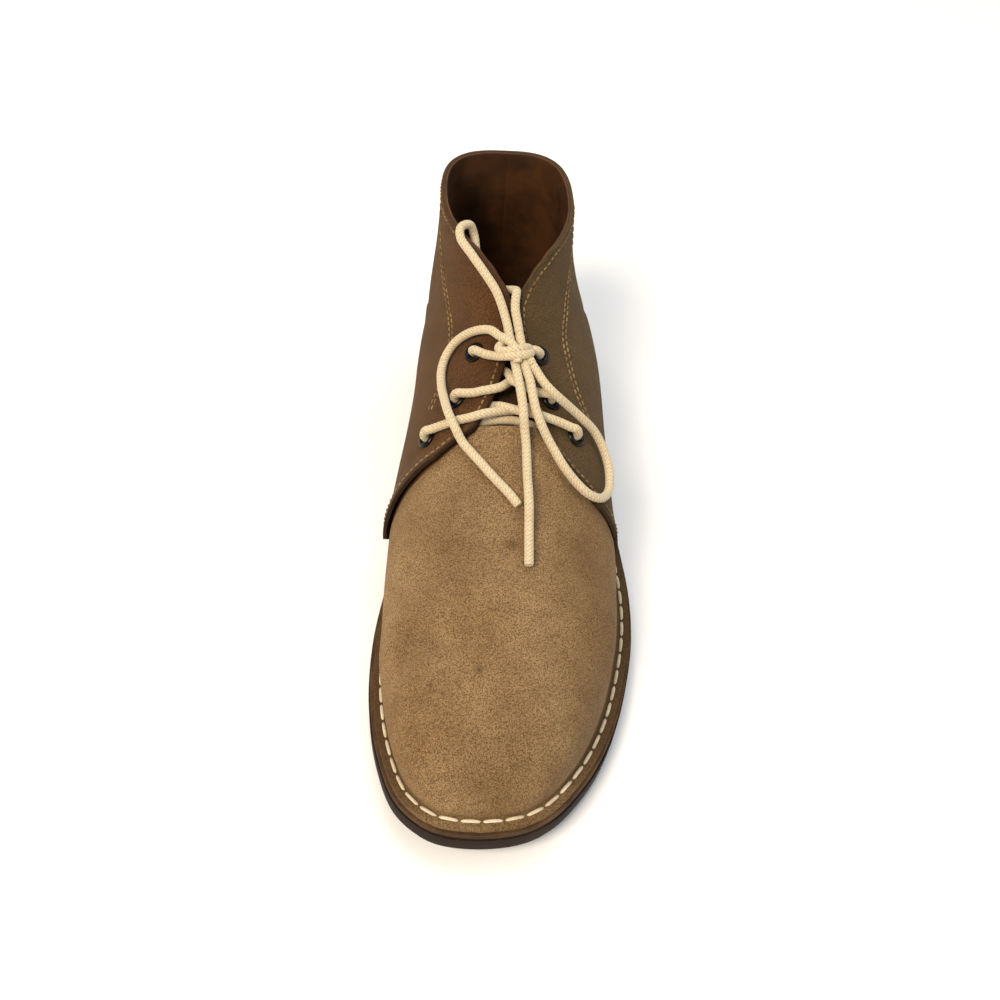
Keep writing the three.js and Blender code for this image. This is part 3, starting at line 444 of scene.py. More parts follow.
# The crease where the upper turns out into its sewn edge
CREASE_TOP = TURNED_EDGE + 1.4 * MM  # where the wall starts to turn out, above the seat
CREASE_TOP_SHARE = 0.6  # and at most this share of the way up to the ridge
CREASE_DOWN = np.linspace(0.3, 1, 71)  # where down the slices that place is looked for
CREASE_RADIUS = 1.4 * MM
CREASE_SHARE = 0.5  # of the turned grid cells, the ones that round the crease
CREASE_SETTLED = 0.6  # how far round the crease it starts to follow the edge's height
TURNED_CELLS = 0.09  # of a panel's cells down its side, the ones that turn out
FOOT_PROBE = 0.06  # how far up a quarter the slope of its foot is measured
LEAST_SLOPE = 10 * MM


def turn_out(wall, foot, direction, share):
    """From the wall down round the crease, and out along the sewn edge."""
    level = seat(foot[:, 1]) + TURNED_EDGE
    corner = np.stack([foot[:, 0], foot[:, 1], level], axis=-1)
    t = np.minimum(share / CREASE_SHARE, 1)[:, None]
    start = corner + direction * CREASE_RADIUS
    crease = wall * (1 - t) ** 2 + 2 * corner * t * (1 - t) + start * t * t
    flat = ramp(CREASE_SHARE, 1, share)[:, None]
    point = crease + direction * (TURNED_EDGE_WIDTH - CREASE_RADIUS) * flat
    settled = seat(point[:, 1]) + TURNED_EDGE
    point[:, 2] = mix(point[:, 2], settled, ramp(CREASE_SETTLED, 1, t[:, 0]))
    return point


def crease_start(side):
    """How far down the slices their walls start to turn out, for a row of sections."""
    sections = np.linspace(0, HEEL_SECTION, 6 * HEEL_SECTION + 1)
    heights = skin(sections[:, None], side * CREASE_DOWN[None, :])[..., 2]
    rise = heights[:, 0] - heights[:, -1]
    wanted = heights[:, -1] + np.minimum(CREASE_TOP, CREASE_TOP_SHARE * rise)
    found = [np.interp(-z, -row, CREASE_DOWN) for z, row in zip(wanted, heights)]
    return sections, np.array(found)


CREASE_START = {side: crease_start(side) for side in SIDE_NAMES}


def quarter_front(down, side):
    medial = np.interp(down, FRONT_DOWN, FRONT_SECTION[-1])
    return np.where(np.asarray(side) < 0, medial, np.interp(down, FRONT_DOWN, FRONT_SECTION[1]))


def quarter_top(along, values):
    reach = np.minimum(TOP_ROUNDING, np.minimum(along, 1 - along))
    shares = np.linspace(-1, 1, 5)
    return sum(np.interp(along + reach * k, TOP_ALONG, values) for k in shares) / len(shares)


def vamp_point(along, over):
    """The vamp with its turned edge, from the toe to just under the quarters."""
    across = 2 * over - 1
    side = np.where(across < 0, -1, 1)
    inner = 1 - TURNED_CELLS
    turned = ramp(inner, 1, np.abs(across))
    reach = np.minimum(np.abs(across) / inner, 1)
    lower = ramp(TOP_DOWN[0], THROAT_UNDERLAP_DOWN, reach)
    under = mix(THROAT_UNDERLAP, VAMP_UNDERLAP, lower)
    end = quarter_front(ramp(TOP_DOWN[0], 1, reach), side) + under
    section = end * along
    start = np.where(side < 0, np.interp(section, *CREASE_START[-1]),
                     np.interp(section, *CREASE_START[1]))
    wall = skin(section, side * reach * start)
    foot = skin(section, side * 1.0)
    out = turn_out(wall, foot, edge_direction(section, side), turned)
    return np.where((turned > 0)[:, None], out, wall), section, side * reach * start


def on_quarter(side, along, up):
    top_section = quarter_top(along, TOP_SECTION)
    top_down = quarter_top(along, TOP_DOWN)
    down = mix(1, top_down, up)
    front = quarter_front(ramp(TOP_DOWN[0], 1, down), side)
    straight = mix(quarter_front(1, side), quarter_front(0, side), up)
    bow = (front - straight) * (1 - along) ** 2
    foot_section = mix(quarter_front(1, side), HEEL_SECTION, along)
    return skin(mix(foot_section, top_section, up) + bow, side * down)


def quarter_wall(side, along, up):
    """A quarter, with its wall round the heel as one curve upwards."""
    along, up = np.broadcast_arrays(np.asarray(along, float), np.asarray(up, float))
    point = on_quarter(side, along, up)
    foot = on_quarter(side, along, 0 * up)
    join = on_quarter(side, along, 0 * up + HEEL_WALL)
    slope = unit(on_quarter(side, along, 0 * up + HEEL_WALL + HEEL_WALL_PROBE) - join)
    reach = np.linalg.norm(foot - join, axis=-1, keepdims=True) / 3
    upright = foot + reach * (0, 0, 1)
    before = join - slope * reach
    t = np.minimum(up / HEEL_WALL, 1)[..., None]
    wall = foot * (1 - t) ** 3 + 3 * upright * t * (1 - t) ** 2
    wall = wall + 3 * before * t * t * (1 - t) + join * t ** 3
    share = smooth(ramp(HEEL_WALL_START, HEEL_WALL_END, along)) * (up < HEEL_WALL)
    return mix(point, wall, share[..., None])


def quarter_point(side, along, up_share):
    """A quarter with its turned edge. up_share is 0 at the outside of that edge."""
    turned = 1 - ramp(0, TURNED_CELLS, up_share)
    foot = quarter_wall(side, along, 0 * along)
    slope = (quarter_wall(side, along, 0 * along + FOOT_PROBE) - foot)[:, 2] / FOOT_PROBE
    start = CREASE_TOP / np.maximum(slope, LEAST_SLOPE)
    up = mix(start, 1, ramp(TURNED_CELLS, 1, up_share))
    wall = quarter_wall(side, along, up)
    section = mix(quarter_front(1, side), HEEL_SECTION, along)
    out = turn_out(wall, foot, edge_direction(section, 0 * along + side), turned)
    return np.where((turned > 0)[:, None], out, wall)


SLOPE_STEP = 0.004


def quarter_above(side, along, up, height):
    """Points and outward directions on a quarter, by shares along it and up it."""
    along, up = np.asarray(along, float), np.asarray(up, float)
    step = SLOPE_STEP
    round_way = quarter_wall(side, along + step, up) - quarter_wall(side, along - step, up)
    up_way = quarter_wall(side, along, up + step) - quarter_wall(side, along, up - step)
    normal = unit(np.cross(up_way, round_way)) * -side
    return quarter_wall(side, along, up) + normal * height, normal


# Modelling

def deselect():
    bpy.ops.object.select_all(action="DESELECT")


def select_only(piece):
    deselect()
    piece.select_set(True)
    bpy.context.view_layer.objects.active = piece


def grid_piece(name, rows, columns, point_at):
    """A grid whose points are moved onto a surface, and the shares that they came from."""
    deselect()
    bpy.ops.mesh.primitive_grid_add(x_subdivisions=columns, y_subdivisions=rows, size=2)
    piece = bpy.context.object
    piece.name = name
    piece.data.name = name
    shares = (vectors_of(piece, "co") + 1) / 2
    move_points(piece, point_at(shares[:, 1], shares[:, 0]))
    return piece, shares[:, 1], shares[:, 0]


def vectors_of(piece, name):
    """The points of a piece, by the name "co", or their normals, by the name "normal"."""
    flat = np.empty(3 * len(piece.data.vertices))
    piece.data.vertices.foreach_get(name, flat)
    return flat.reshape(-1, 3)


def move_points(piece, points):
    piece.data.vertices.foreach_set("co", np.ascontiguousarray(points).ravel())
    piece.data.update()


def raise_surface(piece, heights):
    """Moves each point along its own normal."""
    heights = np.broadcast_to(heights, len(piece.data.vertices))[:, None]
    move_points(piece, vectors_of(piece, "co") + vectors_of(piece, "normal") * heights)


def mark(piece, name, values):
    """A number for each point that a material reads."""
    attribute = piece.data.attributes.new(name, "FLOAT", "POINT")
    attribute.data.foreach_set("value", np.ascontiguousarray(values, dtype=float))


def apply_modifier(piece, kind, **settings):
    select_only(piece)
    modifier = piece.modifiers.new(kind.title(), kind)
    for name, value in settings.items():
        setattr(modifier, name, value)
    bpy.ops.object.modifier_apply(modifier=modifier.name)


def in_edit_mode(piece, *steps):
    select_only(piece)
    bpy.ops.object.mode_set(mode="EDIT")
    bpy.ops.mesh.select_all(action="SELECT")
    for step in steps:
        step()
    bpy.ops.object.mode_set(mode="OBJECT")


def smooth_by_angle(piece, degrees=40):
    select_only(piece)
    bpy.ops.object.shade_smooth_by_angle(angle=math.radians(degrees))


def round_edges(piece, width, segments, degrees):
    """Rounds the edges that are sharper than an angle."""
    apply_modifier(piece, "BEVEL", width=width, segments=segments, limit_method="ANGLE",
                   angle_limit=math.radians(degrees), use_clamp_overlap=True)


def finish_piece(piece, materials, slot, *nodes):
    """Gives a piece its materials, its body and the plain nodes it stands for. Its slot is not
    used.
    """
    piece.data.materials.clear()
    for name in materials:
        piece.data.materials.append(bpy.data.materials[name])
    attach(piece, "root")
    if nodes:
        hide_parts(*nodes)
    return piece


MERGE = 0.02 * MM  # points closer than this become one
CUT_EDGE = 0.3 * MM  # how round a cut edge of leather is


def leather_panel(piece, thickness, edge_round=CUT_EDGE):
    """Gives a surface its thickness inwards, then rounds its cut edges."""
    in_edit_mode(piece, lambda: bpy.ops.mesh.remove_doubles(threshold=MERGE))
    apply_modifier(piece, "SOLIDIFY", thickness=thickness, offset=-1,
                   material_offset=1, material_offset_rim=2)
    round_edges(piece, edge_round, segments=2, degrees=60)
    smooth_by_angle(piece)


def mesh_piece(name, points, faces):
    mesh = bpy.data.meshes.new(name)
    mesh.from_pydata(points, [], faces)
    mesh.update()
    piece = bpy.data.objects.new(name, mesh)
    bpy.context.collection.objects.link(piece)
    return piece


# Lines and tubes

CURVE_STEPS = 24  # of a smooth line, from each of its points to the next


def evened(values, times):
    """A row of values evened out with their neighbours, with both ends kept."""
    values = np.array(values, float)
    for _ in range(times):
        values[1:-1] = (values[:-2] + 2 * values[1:-1] + values[2:]) / 4
    return values


def smooth_line(points, step):
    """A smooth line through points, with its own points at even steps."""
    points = np.asarray(points, float)
    ends = [2 * points[0] - points[1], 2 * points[-1] - points[-2]]
    rows = np.vstack([ends[0], points, ends[1]])
    t = np.linspace(0, 1, CURVE_STEPS, endpoint=False)[:, None]
    parts = []
    for a, b, c, d in zip(rows, rows[1:], rows[2:], rows[3:]):
        before, here, after = (np.linalg.norm(q - p) ** 0.5 for p, q in ((a, b), (b, c), (c, d)))
        first = ((b - a) / before - (c - a) / (before + here) + (c - b) / here) * here
        last = ((c - b) / here - (d - b) / (here + after) + (d - c) / after) * here
        parts.append(b + first * t + (3 * (c - b) - 2 * first - last) * t ** 2
                     + (2 * (b - c) + first + last) * t ** 3)
    return even_steps(np.vstack([*parts, rows[-2:-1]]), step)


def even_steps(line, step):
    lengths = np.concatenate([[0], np.cumsum(np.linalg.norm(np.diff(line, axis=0), axis=1))])
    at = np.linspace(0, lengths[-1], max(3, int(round(lengths[-1] / step)) + 1))
    return np.stack([np.interp(at, lengths, line[:, k]) for k in range(3)], axis=-1)


def length_of(line):
    return float(np.linalg.norm(np.diff(line, axis=0), axis=1).sum())


def carried_frames(line):
    """Two directions square to the line at each point, turned as little as can be."""
    tangents = unit(np.gradient(line, axis=0))
    side = unit(np.cross(tangents[0], (0.1, 0.2, 1)))
    sides = []
    for tangent in tangents:
        side = unit(side - tangent * np.dot(side, tangent))
        sides.append(side)
    sides = np.array(sides)
    return sides, np.cross(tangents, sides)


def tube_faces(rings, sides, base):
    """The faces between a tube's rings of points, which start at a number."""
    faces = []
    for row in range(base, base + (rings - 1) * sides, sides):
        for k in range(sides):
            after = (k + 1) % sides
            faces.append((row + k, row + after, row + after + sides, row + k + sides))
    return faces


LACE_SIDES = 24
LACE_STEP = 0.55 * MM
LACE_END = 0.86  # how thin a lace's cut end is, as a share of its radius
LACE_END_LENGTH = 1 / 6  # over this share of its diameter
BRAID_STRANDS = 6  # diamonds round the lace
BRAID_PITCH = 3 * MM  # a real braid's plaits, a little coarser so that they show
BRAID_RELIEF = 0.07  # of the radius


def lace_tube(name, points, diameter):
    """A round braided lace along a smooth line through points."""
    line = smooth_line(points, LACE_STEP)
    sides, ups = carried_frames(line)
    turn = np.arange(LACE_SIDES) / LACE_SIDES
    distance = np.arange(len(line)) * length_of(line) / (len(line) - 1)
    phase = distance[:, None] / BRAID_PITCH
    strand = BRAID_STRANDS * turn[None] / 2
    braid = np.abs(np.sin(2 * np.pi * (strand + phase)) * np.sin(2 * np.pi * (strand - phase)))
    radius = diameter / 2 * (1 + BRAID_RELIEF * (braid - 0.5))
    from_end = np.minimum(distance, distance[::-1])[:, None]
    radius = radius * mix(LACE_END, 1, np.sqrt(ramp(0, diameter * LACE_END_LENGTH, from_end)))
    angle = 2 * np.pi * turn[None, :, None]
    ring = radius[..., None] * (np.cos(angle) * sides[:, None] + np.sin(angle) * ups[:, None])
    around = (line[:, None] + ring).reshape(-1, 3)
    count = len(around)
    faces = tube_faces(len(line), LACE_SIDES, 0)
    last = count - LACE_SIDES
    for k in range(LACE_SIDES):
        after = (k + 1) % LACE_SIDES
        faces.append((after, k, count))
        faces.append((last + k, last + after, count + 1))
    piece = mesh_piece(name, np.vstack([around, line[0], line[-1]]).tolist(), faces)
    # The braid's height at each point, from which the lace's material paints shade down between
    # the plaits
    mark(piece, "braid", np.concatenate([braid.ravel(), [0.5, 0.5]]))
    return piece, line


def join_pieces(name, pieces):
    deselect()
    for piece in pieces:
        piece.select_set(True)
    bpy.context.view_layer.objects.active = pieces[0]
    if len(pieces) > 1:
        bpy.ops.object.join()
    pieces[0].name = name
    pieces[0].data.name = name
    return pieces[0]


STITCH_RINGS, STITCH_SIDES = 7, 6
STITCH_BOW = 0.6  # how soon a stitch rises out of its hole, less being sooner
STITCH_END = 0.6  # how thin its ends are, as a share of its width
STITCH_TAPER = 0.4
STITCH_FLAT = 1.3  # how many times as wide as high a stitch is


def stitch_row(line, normals, length, space, width, height, sink):
    """Stitches along a line, as points and faces: each a short bowed length of thread."""
    lengths = np.concatenate([[0], np.cumsum(np.linalg.norm(np.diff(line, axis=0), axis=1))])
    count = max(1, int(length_of(line) // (length + space)))
    pitch = length_of(line) / count
    share = np.linspace(0, 1, STITCH_RINGS)
    bow = np.sin(np.pi * share) ** STITCH_BOW
    full = mix(STITCH_END, 1, bow ** STITCH_TAPER)[:, None, None] * width / 2
    turn = 2 * np.pi * np.arange(STITCH_SIDES)[None, :, None] / STITCH_SIDES
    points, faces = [], []
    for n in range(count):
        at = (n + 0.5) * pitch + (share - 0.5) * length * pitch / (length + space)
        middle = np.stack([np.interp(at, lengths, line[:, k]) for k in range(3)], axis=-1)
        up = unit(np.stack([np.interp(at, lengths, normals[:, k]) for k in range(3)], axis=-1))
        aside = unit(np.cross(np.gradient(middle, axis=0), up))
        middle = middle + up * (height * bow - sink)[:, None]
        ring = np.cos(turn) * aside[:, None] + np.sin(turn) * up[:, None] / STITCH_FLAT
        base = len(points)
        points.extend((middle[:, None] + ring * full).reshape(-1, 3).tolist())
        faces.extend(face[::-1] for face in tube_faces(STITCH_RINGS, STITCH_SIDES, base))
        faces.append(tuple(range(base, base + STITCH_SIDES)))
        faces.append(tuple(range(len(points) - STITCH_SIDES, len(points)))[::-1])
    return points, faces


def stitch_piece(name, rows):
    points, faces = [], []
    for row_points, row_faces in rows:
        base = len(points)
        points.extend(row_points)
        faces.extend(tuple(index + base for index in face) for face in row_faces)
    piece = mesh_piece(name, points, faces)
    in_edit_mode(piece, lambda: bpy.ops.mesh.normals_make_consistent(inside=False))
    smooth_by_angle(piece, degrees=60)
    return piece


# Materials

def linear(colour_hex):
    """An sRGB hex colour as linear numbers, with an alpha of 1."""
    channels = [int(colour_hex[i:i + 2], 16) / 255 for i in (1, 3, 5)]
    found = [c / 12.92 if c <= 0.04045 else ((c + 0.055) / 1.055) ** 2.4 for c in channels]
    return (*found, 1)


def per_size(millimetres):
    """A texture scale whose pattern repeats about every so many millimetres."""
    return 1 / (millimetres * MM)


def add_node(tree, kind, settings=(), inputs=()):
    """Adds a node with its settings. Inputs are numbers, colours or other nodes' sockets."""
    node = tree.nodes.new(kind)
    for name, value in dict(settings).items():
        setattr(node, name, value)
    for key, value in dict(inputs).items():
        if isinstance(value, bpy.types.NodeSocket):
            tree.links.new(value, node.inputs[key])
        else:
            node.inputs[key].default_value = value
    return node


def new_material(name, **surface):
    """A material with its shader's constants set, and its tree and shader."""
    material = bpy.data.materials.new(name)
    if material.name != name:
        raise ValueError(f"there is a material named {name} already")
    material.use_nodes = True
    shader = material.node_tree.nodes["Principled BSDF"]
    for key, value in surface.items():
        shader.inputs[key.replace("_", " ")].default_value = value
    return material.node_tree, shader


# Sockets of a colour Mix node
FACTOR, FIRST, SECOND, MIXED = 0, 6, 7, 2


def patterned_material(name, base, layers, bumps, **surface):
    """A material of colours laid over one another, and of bumps from coarse to fine.

    A layer is a noise's size in mm or an attribute's name, then from where to where it
    fades in, how much of it there is at most, and its colour. A bump is a noise's size,
    its strength and its depth, both in mm."""
    tree, shader = new_material(name, **surface)
    place = add_node(tree, "ShaderNodeTexCoord").outputs["Object"]
    colour = linear(base)
    for source, low, high, most, over in layers:
        if isinstance(source, str):
            found = add_node(tree, "ShaderNodeAttribute", {"attribute_name": source})
            share = found.outputs["Fac"]
        else:
            share = add_node(tree, "ShaderNodeTexNoise", inputs={
                "Vector": place, "Scale": per_size(source), "Detail": 2,
                "Roughness": 0.65}).outputs[0]
        fade = add_node(tree, "ShaderNodeMapRange", inputs={
            "Value": share, "From Min": low, "From Max": high, "To Max": most})
        laid = add_node(tree, "ShaderNodeMix", {"data_type": "RGBA"}, {
            FACTOR: fade.outputs[0], FIRST: colour, SECOND: linear(over)})
        colour = laid.outputs[MIXED]
    tree.links.new(colour, shader.inputs["Base Color"])
    for size, strength, depth in bumps:
        grain = add_node(tree, "ShaderNodeTexNoise", inputs={
            "Vector": place, "Scale": per_size(size), "Detail": 2, "Roughness": 0.7})
        inputs = {"Height": grain.outputs[0], "Strength": strength, "Distance": depth * MM}
        if shader.inputs["Normal"].is_linked:
            inputs["Normal"] = shader.inputs["Normal"].links[0].from_socket
        relief = add_node(tree, "ShaderNodeBump", inputs=inputs)
        tree.links.new(relief.outputs["Normal"], shader.inputs["Normal"])


def suede(name, light, base, dark, darkened_and_shaded):
    """Napped split suede: matt, soft and mottled where the nap lies different ways."""
    # Its last layer darkens the suede by the panels' marks: stains and darker edges, and painted
    # shade along the quarters' front edges, in creases and on sides turned from the light
    patterned_material(
        name, base,
        [(34, 0.35, 0.68, 1, light), (8, 0.45, 0.75, 0.3, dark), (0.5, 0.46, 0.54, 0.8, dark),
         (0.45, 0.55, 0.6, 0.6, light), ("darkening_and_painted_shade", 0, 1, 1, darkened_and_shaded)],
        [(7, 0.4, 0.5), (0.5, 1, 0.6)],
        Roughness=0.95, Sheen_Weight=0.2, Sheen_Roughness=0.55, Sheen_Tint=linear("#c9a678"),
        Specular_IOR_Level=0.2)


def make_materials(colours):
    # Vamp suede, brushed one way and paler where it has rubbed: yellowish tan
    suede("suede_vamp", "#a68860", colours.vamp, "#4a3219", "#3f2b17")
    # Quarter suede is darker; the inner quarter's redder hue is painted warm light and the outer
    # quarter's olive grey painted cool shade, on what is one suede
    suede("suede_medial", "#684323", colours.medial, "#28170a", "#1c1007")
    suede("suede_lateral", "#5f4a2f", colours.lateral, "#2f2212", "#21180d")
    # Tongue suede is the vamp's suede darkened with painted shade: the shade under the throat is
    # painted into its colour
    suede("suede_tongue_painted_shade", "#4c331b", "#3b2612", "#231508", "#180f07")
    # Cut suede edges are tan and slightly smooth, and nearly brown-black where the panels' marks
    # darken them; along the quarters' front edges that dark is painted shade
    patterned_material("suede_edge", "#86673f",
                       [(8, 0.35, 0.7, 0.5, "#3a2412"), ("darkening_and_painted_shade", 0.3, 0.9, 1, "#2a1a0c")],
                       [(0.8, 0.6, 0.2)], Roughness=0.8)
    # Vegetable-tanned lining with a fine smooth grain and a low gloss, its orange-tan darkened
    # to brown with painted shade of the boot's inside
    patterned_material("lining_hide", colours.lining,
                       [(14, 0.35, 0.7, 1, "#38220f"), (0.9, 0.5, 0.75, 0.4, "#38220f")],
                       [(0.9, 0.6, 0.06)], Roughness=0.6, Specular_IOR_Level=0.35)
    # The lining's cut edge at the collar, rubbed and darker than its face
    patterned_material("lining_edge", "#7a5a37", [(9, 0.35, 0.7, 1, "#4a321a")],
                       [(0.6, 0.6, 0.1)], Roughness=0.7)
    # Midsole leather is seen at its cut edge, so it is fibrous and matt
    patterned_material("midsole_hide", "#5b4127",
                       [(12, 0.35, 0.7, 1, "#3a2713"), (0.9, 0.48, 0.7, 0.5, "#2f1f0f")],
                       [(0.9, 0.6, 0.2)], Roughness=0.8, Specular_IOR_Level=0.25)
    # Moulded rubber sole, almost black brown, matt, with a faint scuffed bloom
    patterned_material("moulded_rubber", "#2a1c13",
                       [(20, 0.35, 0.7, 1, "#1a110b"), (1.2, 0.5, 0.75, 0.4, "#3d2c1e")],
                       [(1.2, 0.6, 0.12)], Roughness=0.8, Specular_IOR_Level=0.18)
    # Stove-enamelled brass eyelets: gloss black with a crisp highlight
    patterned_material("stoved_enamel", "#0a0908", [(5, 0.35, 0.7, 1, "#050504")], [],
                       Roughness=0.28, Specular_IOR_Level=0.2)
    # Waxed linen thread, cream, in long stitches
    patterned_material("thread_cream", "#dccfb2",
                       [(9, 0.35, 0.7, 0.6, "#b19c74"), (0.7, 0.5, 0.7, 0.4, "#8c7650")],
                       [(0.7, 0.6, 0.12)], Roughness=0.75, Specular_IOR_Level=0.3)
    # Sewing thread of the quarters, tan and half sunk in the suede
    patterned_material("thread_tan", "#93794f",
                       [(9, 0.35, 0.7, 1, "#5a4528"), (0.7, 0.5, 0.7, 0.4, "#4a371e")],
                       [(0.7, 0.6, 0.1)], Roughness=0.8, Specular_IOR_Level=0.25)
    # Braided cotton: matt and a little fuzzy, with painted shade down between the plaits, which
    # take the lace's colour
    patterned_material("braided_cotton", "#a08a66",
                       [("braid", 0, 0.5, 1, colours.lace), (22, 0.5, 0.8, 0.25, "#ab946c"),
                        (0.8, 0.5, 0.68, 0.3, "#8d7652")],
                       [(0.6, 0.6, 0.2)], Roughness=0.9, Sheen_Weight=0.2,
                       Sheen_Roughness=0.5, Specular_IOR_Level=0.25)


# Sizes and colours that a user would change

class BootSizes(bpy.types.PropertyGroup):
    """Sizes of the finish"""
    lace: bpy.props.FloatProperty(
        name="Lace", description="Diameter of the lace", default=3.6 * MM,
        min=1 * MM, unit="LENGTH")
    welt_stitch: bpy.props.FloatProperty(
        name="Sole stitch", description="Length of a stitch round the sole", default=7.2 * MM,
        min=2 * MM, unit="LENGTH")
    seam_stitch: bpy.props.FloatProperty(
        name="Seam stitch", description="Length of a stitch on the quarters",
        default=2.1 * MM, min=0.5 * MM, unit="LENGTH")
    thread: bpy.props.FloatProperty(
        name="Thread", description="Width of the thread round the sole", default=1.3 * MM,
        min=0.2 * MM, unit="LENGTH")


class BootColours(bpy.types.PropertyGroup):
    """Colours of the finish, as sRGB hex values"""
    vamp: bpy.props.StringProperty(
        name="Vamp", description="Suede of the vamp", default="#886a45")
    # The two quarters are one suede: the inner one's redder colour is painted warm light, the
    # outer one's olive grey painted cool shade
    medial: bpy.props.StringProperty(
        name="Inner quarter", description="Suede of the inner quarter", default="#432812")
    lateral: bpy.props.StringProperty(
        name="Outer quarter", description="Suede of the outer quarter", default="#4b3921")
    # The lining's brown is its orange-tan darkened with painted shade of the boot's inside; the
    # insole shares it
    lining: bpy.props.StringProperty(
        name="Lining", description="Leather lining and insole", default="#55341a")
    lace: bpy.props.StringProperty(
        name="Lace", description="Cotton of the lace", default="#d3c2a0")
    floor: bpy.props.StringProperty(
        name="Floor", description="The floor under the boot", default="#f4f3f1")


def sizes_of(context):
    return context.scene.boot_sizes


# Stage

LIGHTS = [  # name, place in metres, size, power in watts, colour
    ("key", (-0.7, -0.75, 1.35), 0.6, 27, "#fff0dc"),
    ("fill", (1.0, -0.3, 1.1), 1.2, 5, "#dde9f6"),
    ("top", (0.1, 0.6, 1.6), 1.0, 12, "#ffffff"),
]
LIGHT_TARGET = (0, 0.02, 0.05)
FLOOR_SIZE = 6
STUDIO_GLOW = 0.4


class BOOT_OT_stage(bpy.types.Operator):
    """Adds the floor, the lights and the camera"""
    bl_idname = "boot.stage"
    bl_label = "Stage"

    def execute(self, context):
        deselect()
        bpy.ops.mesh.primitive_plane_add(size=FLOOR_SIZE)
        floor = context.object
        floor.name = "floor"
        new_material("painted_floor", Roughness=0.9,
                     Base_Color=linear(context.scene.boot_colours.floor))
        floor.data.materials.append(bpy.data.materials["painted_floor"])
        for name, place, size, power, colour in LIGHTS:
            aim = Vector(LIGHT_TARGET) - Vector(place)
            turn = aim.to_track_quat("-Z", "Y").to_euler()
            bpy.ops.object.light_add(type="AREA", location=place, rotation=turn)
            light = context.object
            light.name = f"light_{name}"
            light.data.size = size
            light.data.energy = power
            light.data.color = linear(colour)[:3]
        world = bpy.data.worlds.new("studio")
        world.use_nodes = True
        glow = world.node_tree.nodes["Background"]
        glow.inputs["Color"].default_value = (1, 1, 1, 1)
        glow.inputs["Strength"].default_value = STUDIO_GLOW
        context.scene.world = world
        context.scene.view_settings.view_transform = "Standard"
        self.add_camera(context)
        return {"FINISHED"}

    def add_camera(self, context):
        down, yaw, roll = (math.radians(a) for a in (CAMERA_DOWN, CAMERA_YAW, CAMERA_ROLL))
        ahead = Vector((math.sin(yaw) * math.cos(down), math.cos(yaw) * math.cos(down),
                        -math.sin(down)))
        level = Vector((math.cos(yaw), -math.sin(yaw), 0))
        upright = level.cross(ahead)
        right = math.cos(roll) * level + math.sin(roll) * upright
        up = math.cos(roll) * upright - math.sin(roll) * level
        turn = Matrix((right, up, -ahead)).transposed()
        bpy.ops.object.camera_add()
        camera = context.object
        camera.name = "camera"
        camera.data.lens = CAMERA_LENS
        camera.data.clip_start = CAMERA_NEAR
        camera.matrix_world = Matrix.Translation(Vector(CAMERA_PLACE) * MM) @ turn.to_4x4()
        context.scene.camera = camera


# Lace

def lace_bend(place, towards, below):
    """The lace's bend out of an eyelet towards a point: over its rim or below its barrel."""
    middle, up = eyelet_seat(place)
    reach = sizes_of(bpy.context).lace / 2 + CURVED_GAP
    aim = towards - middle
    aim = unit(aim - up * np.dot(aim, up))

    def round_edge(out, height, half_turns):
        return [middle + aim * (out + reach * math.cos(share * math.pi))
                + up * (height + reach * math.sin(share * math.pi)) for share in half_turns]

    if below:
        low = -QUARTER_LINING - GAP
        barrel = EYELET_BORE + EYELET_BARREL
        return [middle + up * GAP, *round_edge(EYELET_BORE, low, LACE_UNDER_BARREL["bore"]),
                *round_edge(barrel, low, LACE_UNDER_BARREL["barrel"])]
    edge = QUARTER_STEP + GAP + EYELET_RIM_HEIGHT / 3
    crest = (EYELET_RIM + EYELET_BORE) / 2
    top = QUARTER_STEP + GAP + EYELET_RIM_HEIGHT
    return [middle - up * GAP, *round_edge(EYELET_BORE, edge, LACE_OVER_RIM["bore"]),
            *round_edge(crest, top, LACE_OVER_RIM["crest"])]


class BOOT_OT_lace(bpy.types.Operator):
    """Adds the lace: its run through the eyelets, its knot, two loops and two ends"""
    bl_idname = "boot.lace"
    bl_label = "Lace"

    def execute(self, context):
        diameter = sizes_of(context).lace
        strands = [lace_tube("lace_strand", np.array(points) * MM, diameter)[0]
                   for points in LACE_KNOT.values()]
        knot = finish_piece(join_pieces("knot", strands), ["braided_cotton"], "lace_cotton",
                            "lace_knot")
        for node, points in LACE_LYING.items():
            name = node.replace("lace_", "cord_")
            piece, line = lace_tube(name, np.array(points) * MM, diameter)
            finish_piece(piece, ["braided_cotton"], "lace_cotton", node)
        runs = [self.run(row, diameter) for row in LACE_RUNS]
        finish_piece(join_pieces("lacing", runs), ["braided_cotton"], "lace_cotton",
                     "lace_crossings")
        return {"FINISHED"}

    def run(self, row, diameter):
        start, end, under, by = row
        middle = [above(section, float(across_at(section, aside)), height * MM)
                  for section, aside, height in by]
        points = [*lace_bend(start, middle[0], under), *middle]
        if end:
            points += lace_bend(end, middle[-1], True)[::-1]
        return lace_tube("lace_run", points, diameter)[0]


# Upper

VAMP_ROWS, VAMP_COLUMNS = 150, 170
QUARTER_ROWS, QUARTER_COLUMNS = 150, 96
TONGUE_ROWS, TONGUE_COLUMNS = 90, 36
VAMP_SUNK = 1.6 * MM  # how far the vamp dips under the quarters
VAMP_SUNK_AT = (-0.1, 0.15)  # over these sections from the quarters' front edge
OPEN_DOWN = 0.09  # above this share of the slice the vamp has no quarter over it

